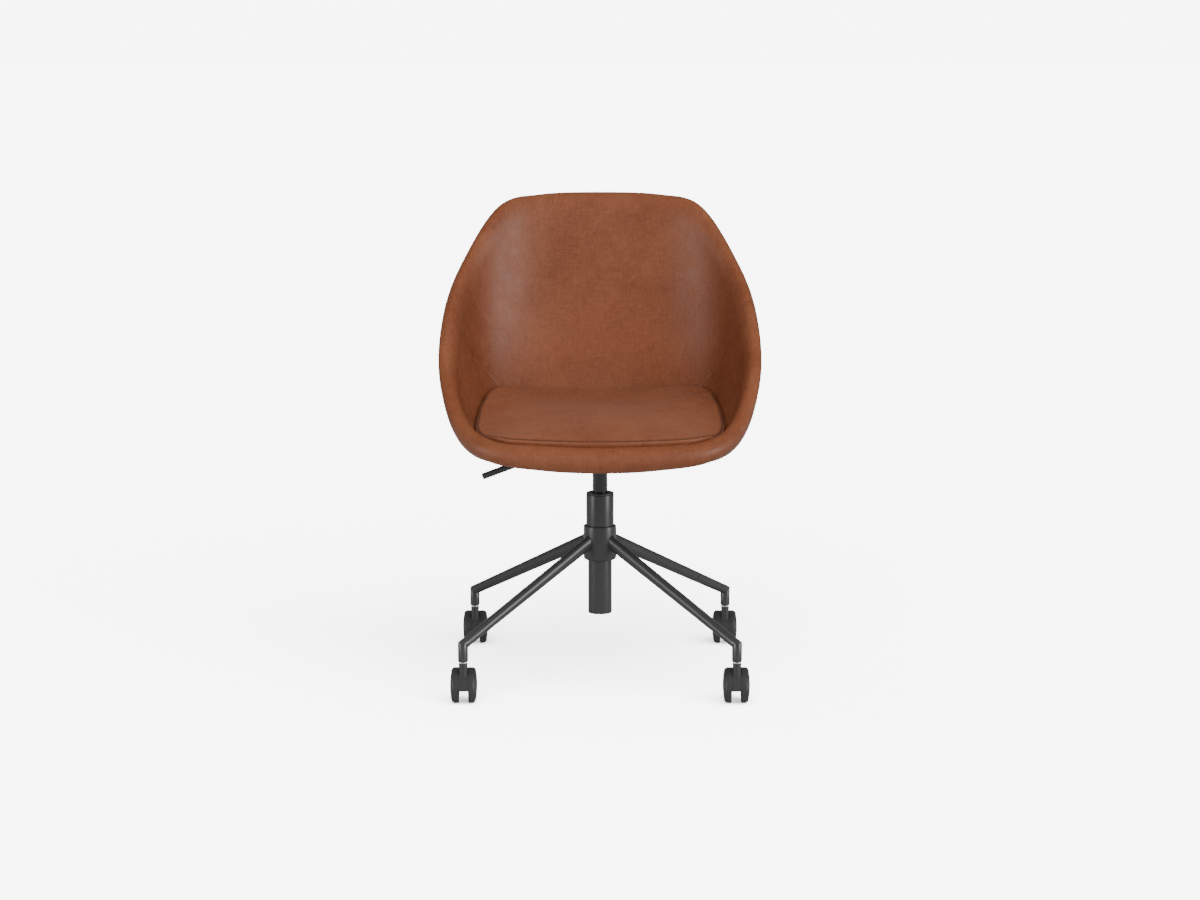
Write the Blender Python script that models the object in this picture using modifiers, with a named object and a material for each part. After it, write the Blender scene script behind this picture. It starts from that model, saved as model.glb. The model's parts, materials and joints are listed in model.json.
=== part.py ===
"""Swivel tub chair: four-legged base on casters, gas lift, lever and upholstered bucket shell.

Metres, +Z up. The origin is on the floor, on the column's axis. The sitter faces -Y.
"""
import math

import bmesh
import bpy
from mathutils import Matrix, Vector

# Clearances
FIT_GAP = 0.0003
LAYER_GAP = 0.0010
CUSHION_GAP = 0.0014

# Casters
CASTER_COUNT = 4
CASTER_CIRCLE_RADIUS = 0.350
CASTER_TRAIL = 0.018
WHEEL_RADIUS = 0.0323
WHEEL_WIDTH = 0.0156
WHEEL_DOME = 0.0022
WHEEL_EDGE_RADIUS = 0.0065
WHEEL_BORE_DEPTH = 0.0110
CASTER_WEB_WIDTH = 0.0174
CASTER_WEB_MARGIN = 0.0012
CASTER_NOTCH_HEIGHT = 0.0270
CASTER_NECK_RADIUS = 0.00775
CASTER_NECK_RISE = 0.0117
CASTER_NECK_DEPTH = 0.0300
AXLE_RADIUS = 0.0030
AXLE_END_MARGIN = 0.0012

# Caster stems
COLLAR_RADIUS = 0.0074
COLLAR_HEIGHT = 0.0031
SWIVEL_PIN_RADIUS = 0.0036
SWIVEL_PIN_LENGTH = 0.0170
SHANK_RADIUS = 0.0052
SHANK_LENGTH = 0.0210

# Legs
FOOT_RADIUS = 0.00915
FOOT_LENGTH = 0.0309
FOOT_EDGE_RADIUS = 0.0012
LEG_RISE = 0.1442
LEG_ROOT_HALF_WIDTH = 0.0072
LEG_ROOT_HALF_HEIGHT = 0.0138
LEG_WALL = 0.0018

# Hub
HUB_RADIUS = 0.0308
HUB_HEIGHT = 0.0650
HUB_BELOW_LEG_ROOT = 0.0345
HUB_BOTTOM_EDGE_RADIUS = 0.0050
HUB_TOP_CHAMFER = 0.0012
HUB_LIP_HEIGHT = 0.0040
HUB_TOP_RECESS_DEPTH = 0.0040
HUB_TOP_RECESS_WIDTH = 0.0022

# Gas lift: stand tube
STAND_UPPER_RADIUS = 0.0260
STAND_TAPER_RADIUS = 0.0252
STAND_LOWER_RADIUS = 0.02235
STAND_WALL = 0.0022
STAND_ABOVE_HUB = 0.0592
STAND_BELOW_HUB = 0.1025
STAND_FLOOR_THICKNESS = 0.0040
STAND_FLOOR_RECESS = 0.0050
STAND_EDGE_CHAMFER = 0.0010
BUSHING_FLANGE_HEIGHT = 0.0037
BUSHING_LENGTH = 0.0900

# Gas lift: rod and cylinder
CYLINDER_RADIUS = 0.0140
CYLINDER_WALL = 0.0020
CYLINDER_BOTTOM_ABOVE_FLOOR_PLATE = 0.0335
CYLINDER_SEAL_THICKNESS = 0.0050
CYLINDER_TAPER_DROP = 0.0009
CYLINDER_TAPER_LENGTH = 0.0262
CYLINDER_HEAD_THICKNESS = 0.0200
ROD_RADIUS = 0.0050
ROD_STUD_RADIUS = 0.0038
ROD_FLANGE_RADIUS = 0.0080
ROD_FLANGE_THICKNESS = 0.0030
BEARING_OUTER_RADIUS = 0.0120
BEARING_THICKNESS = 0.0042
BUFFER_OUTER_RADIUS = 0.0115
BUFFER_HEIGHT = 0.0160
PISTON_HEIGHT_ABOVE_FLOOR_PLATE = 0.1480
PISTON_THICKNESS = 0.0140
ROD_NUT_HEIGHT = 0.0060
CLIP_OUTER_RADIUS = 0.0090
CLIP_THICKNESS = 0.0015
RELEASE_PIN_RADIUS = 0.0040
RELEASE_PIN_RISE = 0.0046
RELEASE_PIN_LENGTH = 0.0170

# Seat plate, socket and lever
SOCKET_ABOVE_STAND_TUBE = 0.0399
SOCKET_OUTER_RADIUS = 0.0215
SEAT_PLATE_SIZE = 0.1400
SEAT_PLATE_THICKNESS = 0.0040
SEAT_PLATE_CORNER = 0.0120
LEVER_RADIUS = 0.0060
LEVER_TIP_REACH = 0.2205
LEVER_DROP = 0.0480
LEVER_SLOPE_DEG = 20.7
LEVER_INNER_REACH = 0.0030
LEVER_PIVOT_OFFSET = 0.0550
LEVER_PIVOT_BELOW_PLATE = 0.0094
LEVER_PIVOT_PIN_RADIUS = 0.0025
LEVER_SLOT_CLEARANCE = 0.0012
LEVER_PRESS_TRAVEL = 0.0036
BRACKET_LENGTH = 0.0160
BRACKET_WALL = 0.0030
BRACKET_WEB = 0.0020
BRACKET_BELOW_PIVOT = 0.0070
BOLT_SPACING = 0.1000
BOLT_RADIUS = 0.0040
BOLT_HEAD_RADIUS = 0.0075
BOLT_HEAD_HEIGHT = 0.0053
BOLT_END_MARGIN = 0.0020
TNUT_FLANGE_RADIUS = 0.0095
TNUT_FLANGE_THICKNESS = 0.0015
TNUT_BARREL_RADIUS = 0.0056

# Bucket shell
SHELL_FLAT_RADIUS = 0.1100
SHELL_CORE_THICKNESS = 0.0090
SHELL_OPENING_RADIUS = 0.1040
SEAT_FOAM_THICKNESS = 0.0100
UNDERSIDE_PAD_THICKNESS = 0.0055
RIM_HALF_WIDTH = 0.2814
RIM_FRONT_REACH = 0.2700
RIM_BACK_REACH = 0.2750
LIP_ABOVE_FLOOR_OF_BUCKET = 0.0066
LIP_RADIUS = 0.0230
BACK_ABOVE_LIP = 0.4285
CORE_INSET = 0.0060
REAR_SEAM_DROP = 0.0200
FOAM_SWELL_START = 0.70

# The rim seen from above and from the side, front centre to back centre, on one half.
# across, along and up are shares of the half width, the depth and the rise of the rim.
# lean is the wall's angle at the rim in degrees. The pulls shape the curve between the
# bucket's floor and the rim, as shares of the half width, and edge is the rim's radius
# as a share of the front lip's. cushion is the cushion's edge as a share of the rim's
# distance from the column, and boxing is its side's height as a share of its thickness.
RIM_STATIONS = (
    # across, along, up, lean, floor pull, rim pull, edge, cushion, boxing
    (0.000, 0.0000, 0.0000, 6.0, 0.320, 0.178, 1.000, 0.889, 0.333),
    (0.351, 0.0147, 0.0063, 6.0, 0.355, 0.178, 0.978, 0.915, 0.250),
    (0.690, 0.0644, 0.0268, 18.0, 0.424, 0.188, 0.843, 0.927, 0.209),
    (0.886, 0.1910, 0.1015, 70.0, 0.494, 0.172, 0.765, 0.894, 0.202),
    (0.999, 0.3670, 0.3104, 82.0, 0.480, 0.355, 0.704, 0.805, 0.446),
    (0.987, 0.5505, 0.5405, 84.0, 0.498, 0.533, 0.652, 0.779, 0.683),
    (0.890, 0.7431, 0.7286, 85.0, 0.515, 0.711, 0.652, 0.771, 0.590),
    (0.677, 0.9028, 0.9470, 80.0, 0.444, 0.853, 0.652, 0.650, 0.548),
    (0.406, 0.9780, 0.9916, 77.0, 0.398, 0.924, 0.652, 0.601, 0.747),
    (0.000, 1.0000, 1.0000, 76.0, 0.384, 0.960, 0.652, 0.598, 0.829),
)
# How many steps the mesh takes from each station to the next
RIM_STEPS = (1, 2, 2, 2, 2, 2, 3, 3, 1)
WALL_STEPS = 6
RIM_ROLL_STEPS = 6

# Seat cushion
CUSHION_THICKNESS = 0.0415
CUSHION_PUFF = 0.0080
CUSHION_DRAW_IN = 0.0012
CUSHION_BULGE = 0.0014
CUSHION_FLOOR_STEPS = 6
CUSHION_RIM_STEPS = 5

# Mesh fineness
FINE_SEGMENTS = 32
SMALL_SEGMENTS = 20
HOLE_SEGMENTS = 12

# Heights, stacked from the floor up
NECK_TOP_Z = 2 * WHEEL_RADIUS + CASTER_NECK_RISE
COLLAR_BOTTOM_Z = NECK_TOP_Z + FIT_GAP
COLLAR_TOP_Z = COLLAR_BOTTOM_Z + COLLAR_HEIGHT
FOOT_BOTTOM_Z = COLLAR_TOP_Z + FIT_GAP
MITRE_Z = FOOT_BOTTOM_Z + FOOT_LENGTH
LEG_ROOT_Z = MITRE_Z + LEG_RISE
HUB_BOTTOM_Z = LEG_ROOT_Z - HUB_BELOW_LEG_ROOT
HUB_TOP_Z = HUB_BOTTOM_Z + HUB_HEIGHT
STAND_TOP_Z = HUB_TOP_Z + STAND_ABOVE_HUB
STAND_BOTTOM_Z = HUB_BOTTOM_Z - STAND_BELOW_HUB
FLOOR_PLATE_Z = STAND_BOTTOM_Z + STAND_FLOOR_RECESS
FLOOR_PLATE_TOP_Z = FLOOR_PLATE_Z + STAND_FLOOR_THICKNESS
CYLINDER_BOTTOM_Z = FLOOR_PLATE_TOP_Z + CYLINDER_BOTTOM_ABOVE_FLOOR_PLATE
SOCKET_BOTTOM_Z = STAND_TOP_Z + BUSHING_FLANGE_HEIGHT + SOCKET_ABOVE_STAND_TUBE
CYLINDER_TOP_Z = SOCKET_BOTTOM_Z + CYLINDER_TAPER_LENGTH + FIT_GAP
RELEASE_PIN_TOP_Z = CYLINDER_TOP_Z + RELEASE_PIN_RISE
LEVER_PIVOT_Z = RELEASE_PIN_TOP_Z + FIT_GAP + LEVER_RADIUS
SEAT_PLATE_BOTTOM_Z = LEVER_PIVOT_Z + LEVER_PIVOT_BELOW_PLATE
SEAT_PLATE_TOP_Z = SEAT_PLATE_BOTTOM_Z + SEAT_PLATE_THICKNESS
CORE_BOTTOM_Z = SEAT_PLATE_TOP_Z + FIT_GAP
BUCKET_Z = CORE_BOTTOM_Z + SHELL_CORE_THICKNESS / 2
LIP_Z = BUCKET_Z + LIP_ABOVE_FLOOR_OF_BUCKET
CORE_HALF = SHELL_CORE_THICKNESS / 2
SEAT_SIDE_HALF = CORE_HALF + SEAT_FOAM_THICKNESS
UNDERSIDE_HALF = CORE_HALF + UNDERSIDE_PAD_THICKNESS
STAND_INNER_RADIUS = STAND_UPPER_RADIUS - STAND_WALL
LEG_SLOPE = LEG_RISE / (CASTER_CIRCLE_RADIUS - HUB_RADIUS)

# Material name: colour, roughness, metallic
MATERIALS = {
    "leather": ((0.235, 0.085, 0.038), 0.50, 0.0),
    "moulded_shell": ((0.040, 0.038, 0.036), 0.60, 0.0),
    "powder_coat": ((0.045, 0.045, 0.047), 0.42, 0.6),
    "cylinder_black": ((0.012, 0.012, 0.013), 0.20, 0.7),
    "nylon_black": ((0.030, 0.030, 0.031), 0.55, 0.0),
    "bright_steel": ((0.720, 0.720, 0.730), 0.28, 1.0),
    "rubber_black": ((0.015, 0.015, 0.015), 0.80, 0.0),
}


def clear_scene():
    """Remove what the start-up scene holds."""
    for thing in list(bpy.data.objects):
        bpy.data.objects.remove(thing, do_unlink=True)


def make_collection(name):
    collection = bpy.data.collections.new(name)
    bpy.context.scene.collection.children.link(collection)
    return collection


def make_material(node_name, kind):
    """Each sub-part has its own material, of one of the kinds above."""
    colour, roughness, metallic = MATERIALS[kind]
    material = bpy.data.materials.new(node_name + "_" + kind)
    material.use_nodes = True
    shader = material.node_tree.nodes["Principled BSDF"]
    shader.inputs["Base Color"].default_value = (*colour, 1.0)
    shader.inputs["Roughness"].default_value = roughness
    shader.inputs["Metallic"].default_value = metallic
    material.diffuse_color = (*colour, 1.0)
    return material


def add_axis(name, place, parent=None):
    """An empty on a joint's axis, which carries the pieces that move about it."""
    axis = bpy.data.objects.new(name, None)
    axis.empty_display_size = 0.03
    axis.location = place
    axis.parent = parent
    PARTS.objects.link(axis)
    return axis


def add_piece(name, mesh, kind, parent=None, place=(0, 0, 0), turn=(0, 0, 0)):
    piece = bpy.data.objects.new(name, mesh)
    piece.location = place
    piece.rotation_euler = turn
    piece.parent = parent
    PARTS.objects.link(piece)
    piece.data = mesh
    mesh.materials.clear()
    mesh.materials.append(make_material(name, kind))
    return piece


def smooth(mesh):
    """Round pieces are shaded smooth, with their real edges kept sharp."""
    mesh.shade_smooth()
    mesh.set_sharp_from_angle(angle=math.radians(35))


def profile_mesh(name, profile, closed):
    """A chain of points (radius, height), for a Screw modifier to turn about Z."""
    mesh = bpy.data.meshes.new(name)
    points = [(radius, 0.0, height) for radius, height in profile]
    edges = [(index, index + 1) for index in range(len(points) - 1)]
    if closed:
        edges.append((len(points) - 1, 0))
    mesh.from_pydata(points, edges, [])
    return mesh


def turn_profile(piece, segments):
    screw = piece.modifiers.new("turned", "SCREW")
    screw.axis = "Z"
    screw.angle = math.tau
    screw.steps = segments
    screw.render_steps = segments
    screw.use_merge_vertices = True
    screw.merge_threshold = 0.00001
    screw.use_smooth_shade = True
    return piece


def add_turned(name, profile, kind, segments=SMALL_SEGMENTS, **placing):
    """A turned piece. Its profile runs down the outer side and, in a ring, up the inner side."""
    closed = profile[0][0] > 0
    piece = add_piece(name, profile_mesh(name, profile, closed), kind, **placing)
    return turn_profile(piece, segments)


def finished_mesh(piece):
    """The mesh of a piece with its modifiers applied."""
    bpy.context.view_layer.update()
    graph = bpy.context.evaluated_depsgraph_get()
    return bpy.data.meshes.new_from_object(piece.evaluated_get(graph))


def settle(piece):
    """Apply a piece's modifiers, and delete the cutters that only it uses."""
    mesh = finished_mesh(piece)
    tools = [modifier.object for modifier in piece.modifiers if modifier.type == "BOOLEAN"]
    material = piece.data.materials[0]
    piece.modifiers.clear()
    piece.data = mesh
    mesh.materials.clear()
    mesh.materials.append(material)
    for tool in tools:
        bpy.data.objects.remove(tool, do_unlink=True)
    smooth(mesh)
    return piece


def add_tool(name, mesh, place=(0, 0, 0), turn=(0, 0, 0), parent=None):
    """A cutter or a shape to be joined, kept out of the model."""
    tool = bpy.data.objects.new(name, mesh)
    tool.location = place
    tool.rotation_euler = turn
    tool.parent = parent
    tool.hide_render = True
    tool.display_type = "WIRE"
    CUTTERS.objects.link(tool)
    return tool


def combine(piece, tool, operation):
    modifier = piece.modifiers.new(tool.name, "BOOLEAN")
    modifier.operation = operation
    modifier.solver = "EXACT"
    modifier.object = tool


def cylinder_mesh(name, radius, bottom, top, segments=HOLE_SEGMENTS):
    """A solid cylinder along Z."""
    mesh = bpy.data.meshes.new(name)
    shape = bmesh.new()
    bmesh.ops.create_cone(
        shape, cap_ends=True, segments=segments, radius1=radius, radius2=radius,
        depth=top - bottom, matrix=Matrix.Translation((0, 0, (top + bottom) / 2)))
    shape.to_mesh(mesh)
    shape.free()
    return mesh


def box_mesh(name, low, high):
    mesh = bpy.data.meshes.new(name)
    shape = bmesh.new()
    low, high = Vector(low), Vector(high)
    size = Matrix.Diagonal((*(high - low), 1.0))
    bmesh.ops.create_cube(shape, size=1.0, matrix=Matrix.Translation((low + high) / 2) @ size)
    shape.to_mesh(mesh)
    shape.free()
    return mesh


def loft(name, sections, closed, around=False):
    """A skin over like-numbered sections, each a list of points that runs from the top down.

    closed joins each section's last point to its first, and around joins the last section
    to the first. Points that coincide, such as those on the column's axis, become one.
    Each quad is split across its shorter diagonal, so that skins that face each other match.
    """
    mesh = bpy.data.meshes.new(name)
    shape = bmesh.new()
    rows = [[shape.verts.new(point) for point in section] for section in sections]
    rings = rows + [rows[0]] if around else rows
    for row, following in zip(rings, rings[1:]):
        count = len(row)
        for index in range(count if closed else count - 1):
            after = (index + 1) % count
            a, b, c, d = row[index], row[after], following[after], following[index]
            if (a.co - c.co).length < (b.co - d.co).length:
                triangles = ((a, b, c), (a, c, d))
            else:
                triangles = ((a, b, d), (b, c, d))
            for triangle in triangles:
                shape.faces.new(triangle)
    bmesh.ops.remove_doubles(shape, verts=shape.verts, dist=0.000001)
    shape.to_mesh(mesh)
    shape.free()
    return mesh


def arc(centre, radius, start_deg, end_deg, steps):
    """Points (radius, height) along an arc of a profile."""
    points = []
    for step in range(steps + 1):
        angle = math.radians(start_deg + (end_deg - start_deg) * step / steps)
        points.append((centre[0] + radius * math.cos(angle), centre[1] + radius * math.sin(angle)))
    return points


# Base


def build_hub():
    bore_top = STAND_UPPER_RADIUS + FIT_GAP
    bore_bottom = STAND_TAPER_RADIUS + FIT_GAP
    lip_radius = STAND_LOWER_RADIUS + FIT_GAP
    recess = STAND_UPPER_RADIUS + HUB_TOP_RECESS_WIDTH
    edge = HUB_BOTTOM_EDGE_RADIUS
    profile = [(HUB_RADIUS - HUB_TOP_CHAMFER, HUB_TOP_Z), (HUB_RADIUS, HUB_TOP_Z - HUB_TOP_CHAMFER)]
    profile += arc((HUB_RADIUS - edge, HUB_BOTTOM_Z + edge), edge, 0, -90, 5)
    profile += [
        (lip_radius, HUB_BOTTOM_Z),
        (lip_radius, HUB_BOTTOM_Z + HUB_LIP_HEIGHT),
        (bore_bottom, HUB_BOTTOM_Z + HUB_LIP_HEIGHT),
        (bore_top, HUB_TOP_Z - HUB_TOP_RECESS_DEPTH),
        (recess, HUB_TOP_Z - HUB_TOP_RECESS_DEPTH),
        (recess, HUB_TOP_Z),
    ]
    add_turned("base_hub", profile, "powder_coat", FINE_SEGMENTS)


def leg_axis_z(reach):
    """Height of a leg's centre line at a distance from the column's axis."""
    return MITRE_Z + (CASTER_CIRCLE_RADIUS - reach) * LEG_SLOPE


def mitre_z(reach):
    """The joint between a sloping leg and its upright foot halves the angle between them."""
    slope_angle = math.atan(LEG_SLOPE)
    half_way = (math.pi / 2 + slope_angle) / 2
    return MITRE_Z + (reach - CASTER_CIRCLE_RADIUS) / math.tan(half_way)


def leg_section(share, angle, inset):
    """Half width and upright offset of a leg's tube, from its oval root to its round tip."""
    tip_half_height = FOOT_RADIUS / math.cos(math.atan(LEG_SLOPE))
    half_width = LEG_ROOT_HALF_WIDTH + (FOOT_RADIUS - LEG_ROOT_HALF_WIDTH) * share
    half_height = LEG_ROOT_HALF_HEIGHT + (tip_half_height - LEG_ROOT_HALF_HEIGHT) * share
    return (half_width - inset) * math.cos(angle), (half_height - inset) * math.sin(angle)


def leg_point(share, angle, inset):
    """A point of the leg's tube, which is coped to the hub and mitred to the foot."""
    width, height = leg_section(share, angle, inset)
    root = math.sqrt((HUB_RADIUS + FIT_GAP) ** 2 - width ** 2)
    half_way_slope = 1 / math.tan((math.pi / 2 + math.atan(LEG_SLOPE)) / 2)
    clearance = FIT_GAP * math.hypot(1, half_way_slope)
    tip = CASTER_CIRCLE_RADIUS + (height - clearance) / (half_way_slope + LEG_SLOPE)
    reach = root + (tip - root) * share
    return reach, width, leg_axis_z(reach) + height


def build_leg(number, turn):
    steps = SMALL_SEGMENTS
    angles = [-math.tau * step / steps for step in range(steps)]
    walls = ((0.0, 0.0), (0.5, 0.0), (1.0, 0.0), (1.0, LEG_WALL), (0.5, LEG_WALL), (0.0, LEG_WALL))
    sections = [[leg_point(share, angle, inset) for share, inset in walls] for angle in angles]
    mesh = loft("leg_%d" % number, sections, closed=True, around=True)
    smooth(mesh)
    add_piece("leg_%d" % number, mesh, "powder_coat", turn=(0, 0, turn))


def build_foot(number, turn):
    """The upright stub under a leg's tip, bored for the caster's stem."""
    bore = SHANK_RADIUS + FIT_GAP
    edge = FOOT_EDGE_RADIUS
    sections = []
    for step in range(SMALL_SEGMENTS):
        angle = -math.tau * step / SMALL_SEGMENTS
        side, across = math.cos(angle), math.sin(angle)
        section = []
        for radius, height in ((bore, 0.0), (FOOT_RADIUS - edge, 0.0), (FOOT_RADIUS, edge)):
            reach = CASTER_CIRCLE_RADIUS + radius * side
            section.append((reach, radius * across, FOOT_BOTTOM_Z + height))
        for radius in (FOOT_RADIUS, bore):
            reach = CASTER_CIRCLE_RADIUS + radius * side
            section.append((reach, radius * across, mitre_z(reach)))
        sections.append(section)
    mesh = loft("foot_%d" % number, sections, closed=True, around=True)
    smooth(mesh)
    add_piece("foot_%d" % number, mesh, "powder_coat", turn=(0, 0, turn))


# Casters


def wheel_profile():
    """Half of a wheel's section, from its domed outer face to its blind bore."""
    rim_face = WHEEL_WIDTH - WHEEL_DOME
    edge = WHEEL_EDGE_RADIUS
    bore = AXLE_RADIUS + FIT_GAP
    face_radius = WHEEL_RADIUS - edge
    profile = [(0.0, WHEEL_WIDTH)]
    for share in (0.45, 0.80):
        profile.append((face_radius * share, WHEEL_WIDTH - WHEEL_DOME * share ** 2))
    profile += arc((face_radius, rim_face - edge), edge, 90, 0, 3)
    profile += [(WHEEL_RADIUS, 0.0012), (WHEEL_RADIUS - 0.0012, 0.0)]
    profile += [(bore, 0.0), (bore, WHEEL_BORE_DEPTH), (0.0, WHEEL_BORE_DEPTH)]
    return profile


def caster_body_mesh():
    """The web between the wheels, cut flat below, with the neck that swivels on the stem."""
    web = cylinder_mesh(
        "caster_web", WHEEL_RADIUS - CASTER_WEB_MARGIN, -CASTER_WEB_WIDTH / 2, CASTER_WEB_WIDTH / 2, 32)
    along_x = Matrix.Translation((0, CASTER_TRAIL, WHEEL_RADIUS)) @ Matrix.Rotation(math.pi / 2, 4, "Y")
    web.transform(along_x)
    body = add_piece("caster_pattern", web, "nylon_black")
    neck_bottom = NECK_TOP_Z - CASTER_NECK_DEPTH
    neck = cylinder_mesh("caster_neck", CASTER_NECK_RADIUS, neck_bottom, NECK_TOP_Z, SMALL_SEGMENTS)
    combine(body, add_tool("caster_neck", neck), "UNION")
    reach = 2 * WHEEL_RADIUS
    notch = box_mesh("caster_notch", (-reach, -reach, -reach), (reach, 2 * reach, CASTER_NOTCH_HEIGHT))
    combine(body, add_tool("caster_notch", notch), "DIFFERENCE")
    pin_bottom = NECK_TOP_Z - SWIVEL_PIN_LENGTH
    bore = cylinder_mesh("stem_bore", SWIVEL_PIN_RADIUS + FIT_GAP, pin_bottom, NECK_TOP_Z + reach)
    combine(body, add_tool("stem_bore", bore), "DIFFERENCE")
    axle_bore = cylinder_mesh("axle_bore", AXLE_RADIUS + FIT_GAP, -reach, reach)
    axle_bore.transform(along_x)
    combine(body, add_tool("axle_bore", axle_bore), "DIFFERENCE")
    settle(body)
    mesh = body.data
    bpy.data.objects.remove(body, do_unlink=True)
    return mesh


def build_stem(number, x, y):
    """The bright stem: a shank in the foot, a collar, and the pin that the caster turns on."""
    pin_end = NECK_TOP_Z - SWIVEL_PIN_LENGTH + FIT_GAP
    profile = [
        (0.0, FOOT_BOTTOM_Z + SHANK_LENGTH),
        (SHANK_RADIUS, FOOT_BOTTOM_Z + SHANK_LENGTH),
        (SHANK_RADIUS, COLLAR_TOP_Z),
        (COLLAR_RADIUS, COLLAR_TOP_Z),
        (COLLAR_RADIUS, COLLAR_BOTTOM_Z),
        (SWIVEL_PIN_RADIUS, COLLAR_BOTTOM_Z),
        (SWIVEL_PIN_RADIUS, pin_end),
        (0.0, pin_end),
    ]
    add_turned("caster_stem_%d" % number, profile, "bright_steel", place=(x, y, 0))


def build_caster(number, x, y, body_mesh):
    axis = add_axis("axis_caster_%d" % number, (x, y, 0))
    add_piece("caster_body_%d" % number, body_mesh.copy(), "nylon_black", parent=axis)
    inner_face = CASTER_WEB_WIDTH / 2 + FIT_GAP
    axle_half = inner_face + WHEEL_BORE_DEPTH - AXLE_END_MARGIN
    axle = [(0.0, axle_half), (AXLE_RADIUS, axle_half), (AXLE_RADIUS, -axle_half), (0.0, -axle_half)]
    centre = (0.0, CASTER_TRAIL, WHEEL_RADIUS)
    across = (0, math.pi / 2, 0)
    add_turned(
        "caster_axle_%d" % number, axle, "bright_steel", HOLE_SEGMENTS,
        parent=axis, place=centre, turn=across)
    for side, direction in (("left", -1), ("right", 1)):
        place = (direction * inner_face, CASTER_TRAIL, WHEEL_RADIUS)
        add_turned(
            "wheel_%d_%s" % (number, side), wheel_profile(), "nylon_black",
            parent=axis, place=place, turn=(0, direction * math.pi / 2, 0))


def build_base():
    build_hub()
    body_mesh = caster_body_mesh()
    for index in range(CASTER_COUNT):
        turn = math.tau * (index + 0.5) / CASTER_COUNT
        number = index + 1
        x = CASTER_CIRCLE_RADIUS * math.cos(turn)
        y = CASTER_CIRCLE_RADIUS * math.sin(turn)
        build_leg(number, turn)
        build_foot(number, turn)
        build_stem(number, x, y)
        build_caster(number, x, y, body_mesh)


# Gas lift


def build_stand_tube():
    lower_inner = STAND_LOWER_RADIUS - STAND_WALL
    hole = ROD_STUD_RADIUS + FIT_GAP
    chamfer = STAND_EDGE_CHAMFER
    shoulder_z = HUB_BOTTOM_Z + HUB_LIP_HEIGHT + FIT_GAP
    profile = [
        (STAND_UPPER_RADIUS, STAND_TOP_Z),
        (STAND_UPPER_RADIUS, HUB_TOP_Z - HUB_TOP_RECESS_DEPTH),
        (STAND_TAPER_RADIUS, shoulder_z),
        (STAND_LOWER_RADIUS, shoulder_z),
        (STAND_LOWER_RADIUS, STAND_BOTTOM_Z + chamfer),
        (STAND_LOWER_RADIUS - chamfer, STAND_BOTTOM_Z),
        (lower_inner, STAND_BOTTOM_Z),
        (lower_inner, FLOOR_PLATE_Z),
        (hole, FLOOR_PLATE_Z),
        (hole, FLOOR_PLATE_TOP_Z),
        (lower_inner, FLOOR_PLATE_TOP_Z),
        (lower_inner, shoulder_z + STAND_WALL),
        (STAND_INNER_RADIUS, shoulder_z + 2 * STAND_WALL),
        (STAND_INNER_RADIUS, STAND_TOP_Z),
    ]
    add_turned("stand_tube", profile, "powder_coat", FINE_SEGMENTS)


def build_bushing():
    """The plastic guide in the stand tube's mouth, with the flange that caps it."""
    bore = CYLINDER_RADIUS + FIT_GAP
    outer = STAND_INNER_RADIUS - FIT_GAP
    bottom = STAND_TOP_Z - BUSHING_LENGTH
    flange_bottom = STAND_TOP_Z + FIT_GAP
    flange_top = STAND_TOP_Z + BUSHING_FLANGE_HEIGHT
    profile = [
        (STAND_UPPER_RADIUS - STAND_EDGE_CHAMFER, flange_top),
        (STAND_UPPER_RADIUS, flange_top - STAND_EDGE_CHAMFER),
        (STAND_UPPER_RADIUS, flange_bottom),
        (outer, flange_bottom),
        (outer, bottom),
        (bore, bottom),
        (bore, flange_top),
    ]
    add_turned("guide_bushing", profile, "nylon_black", FINE_SEGMENTS)


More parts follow.
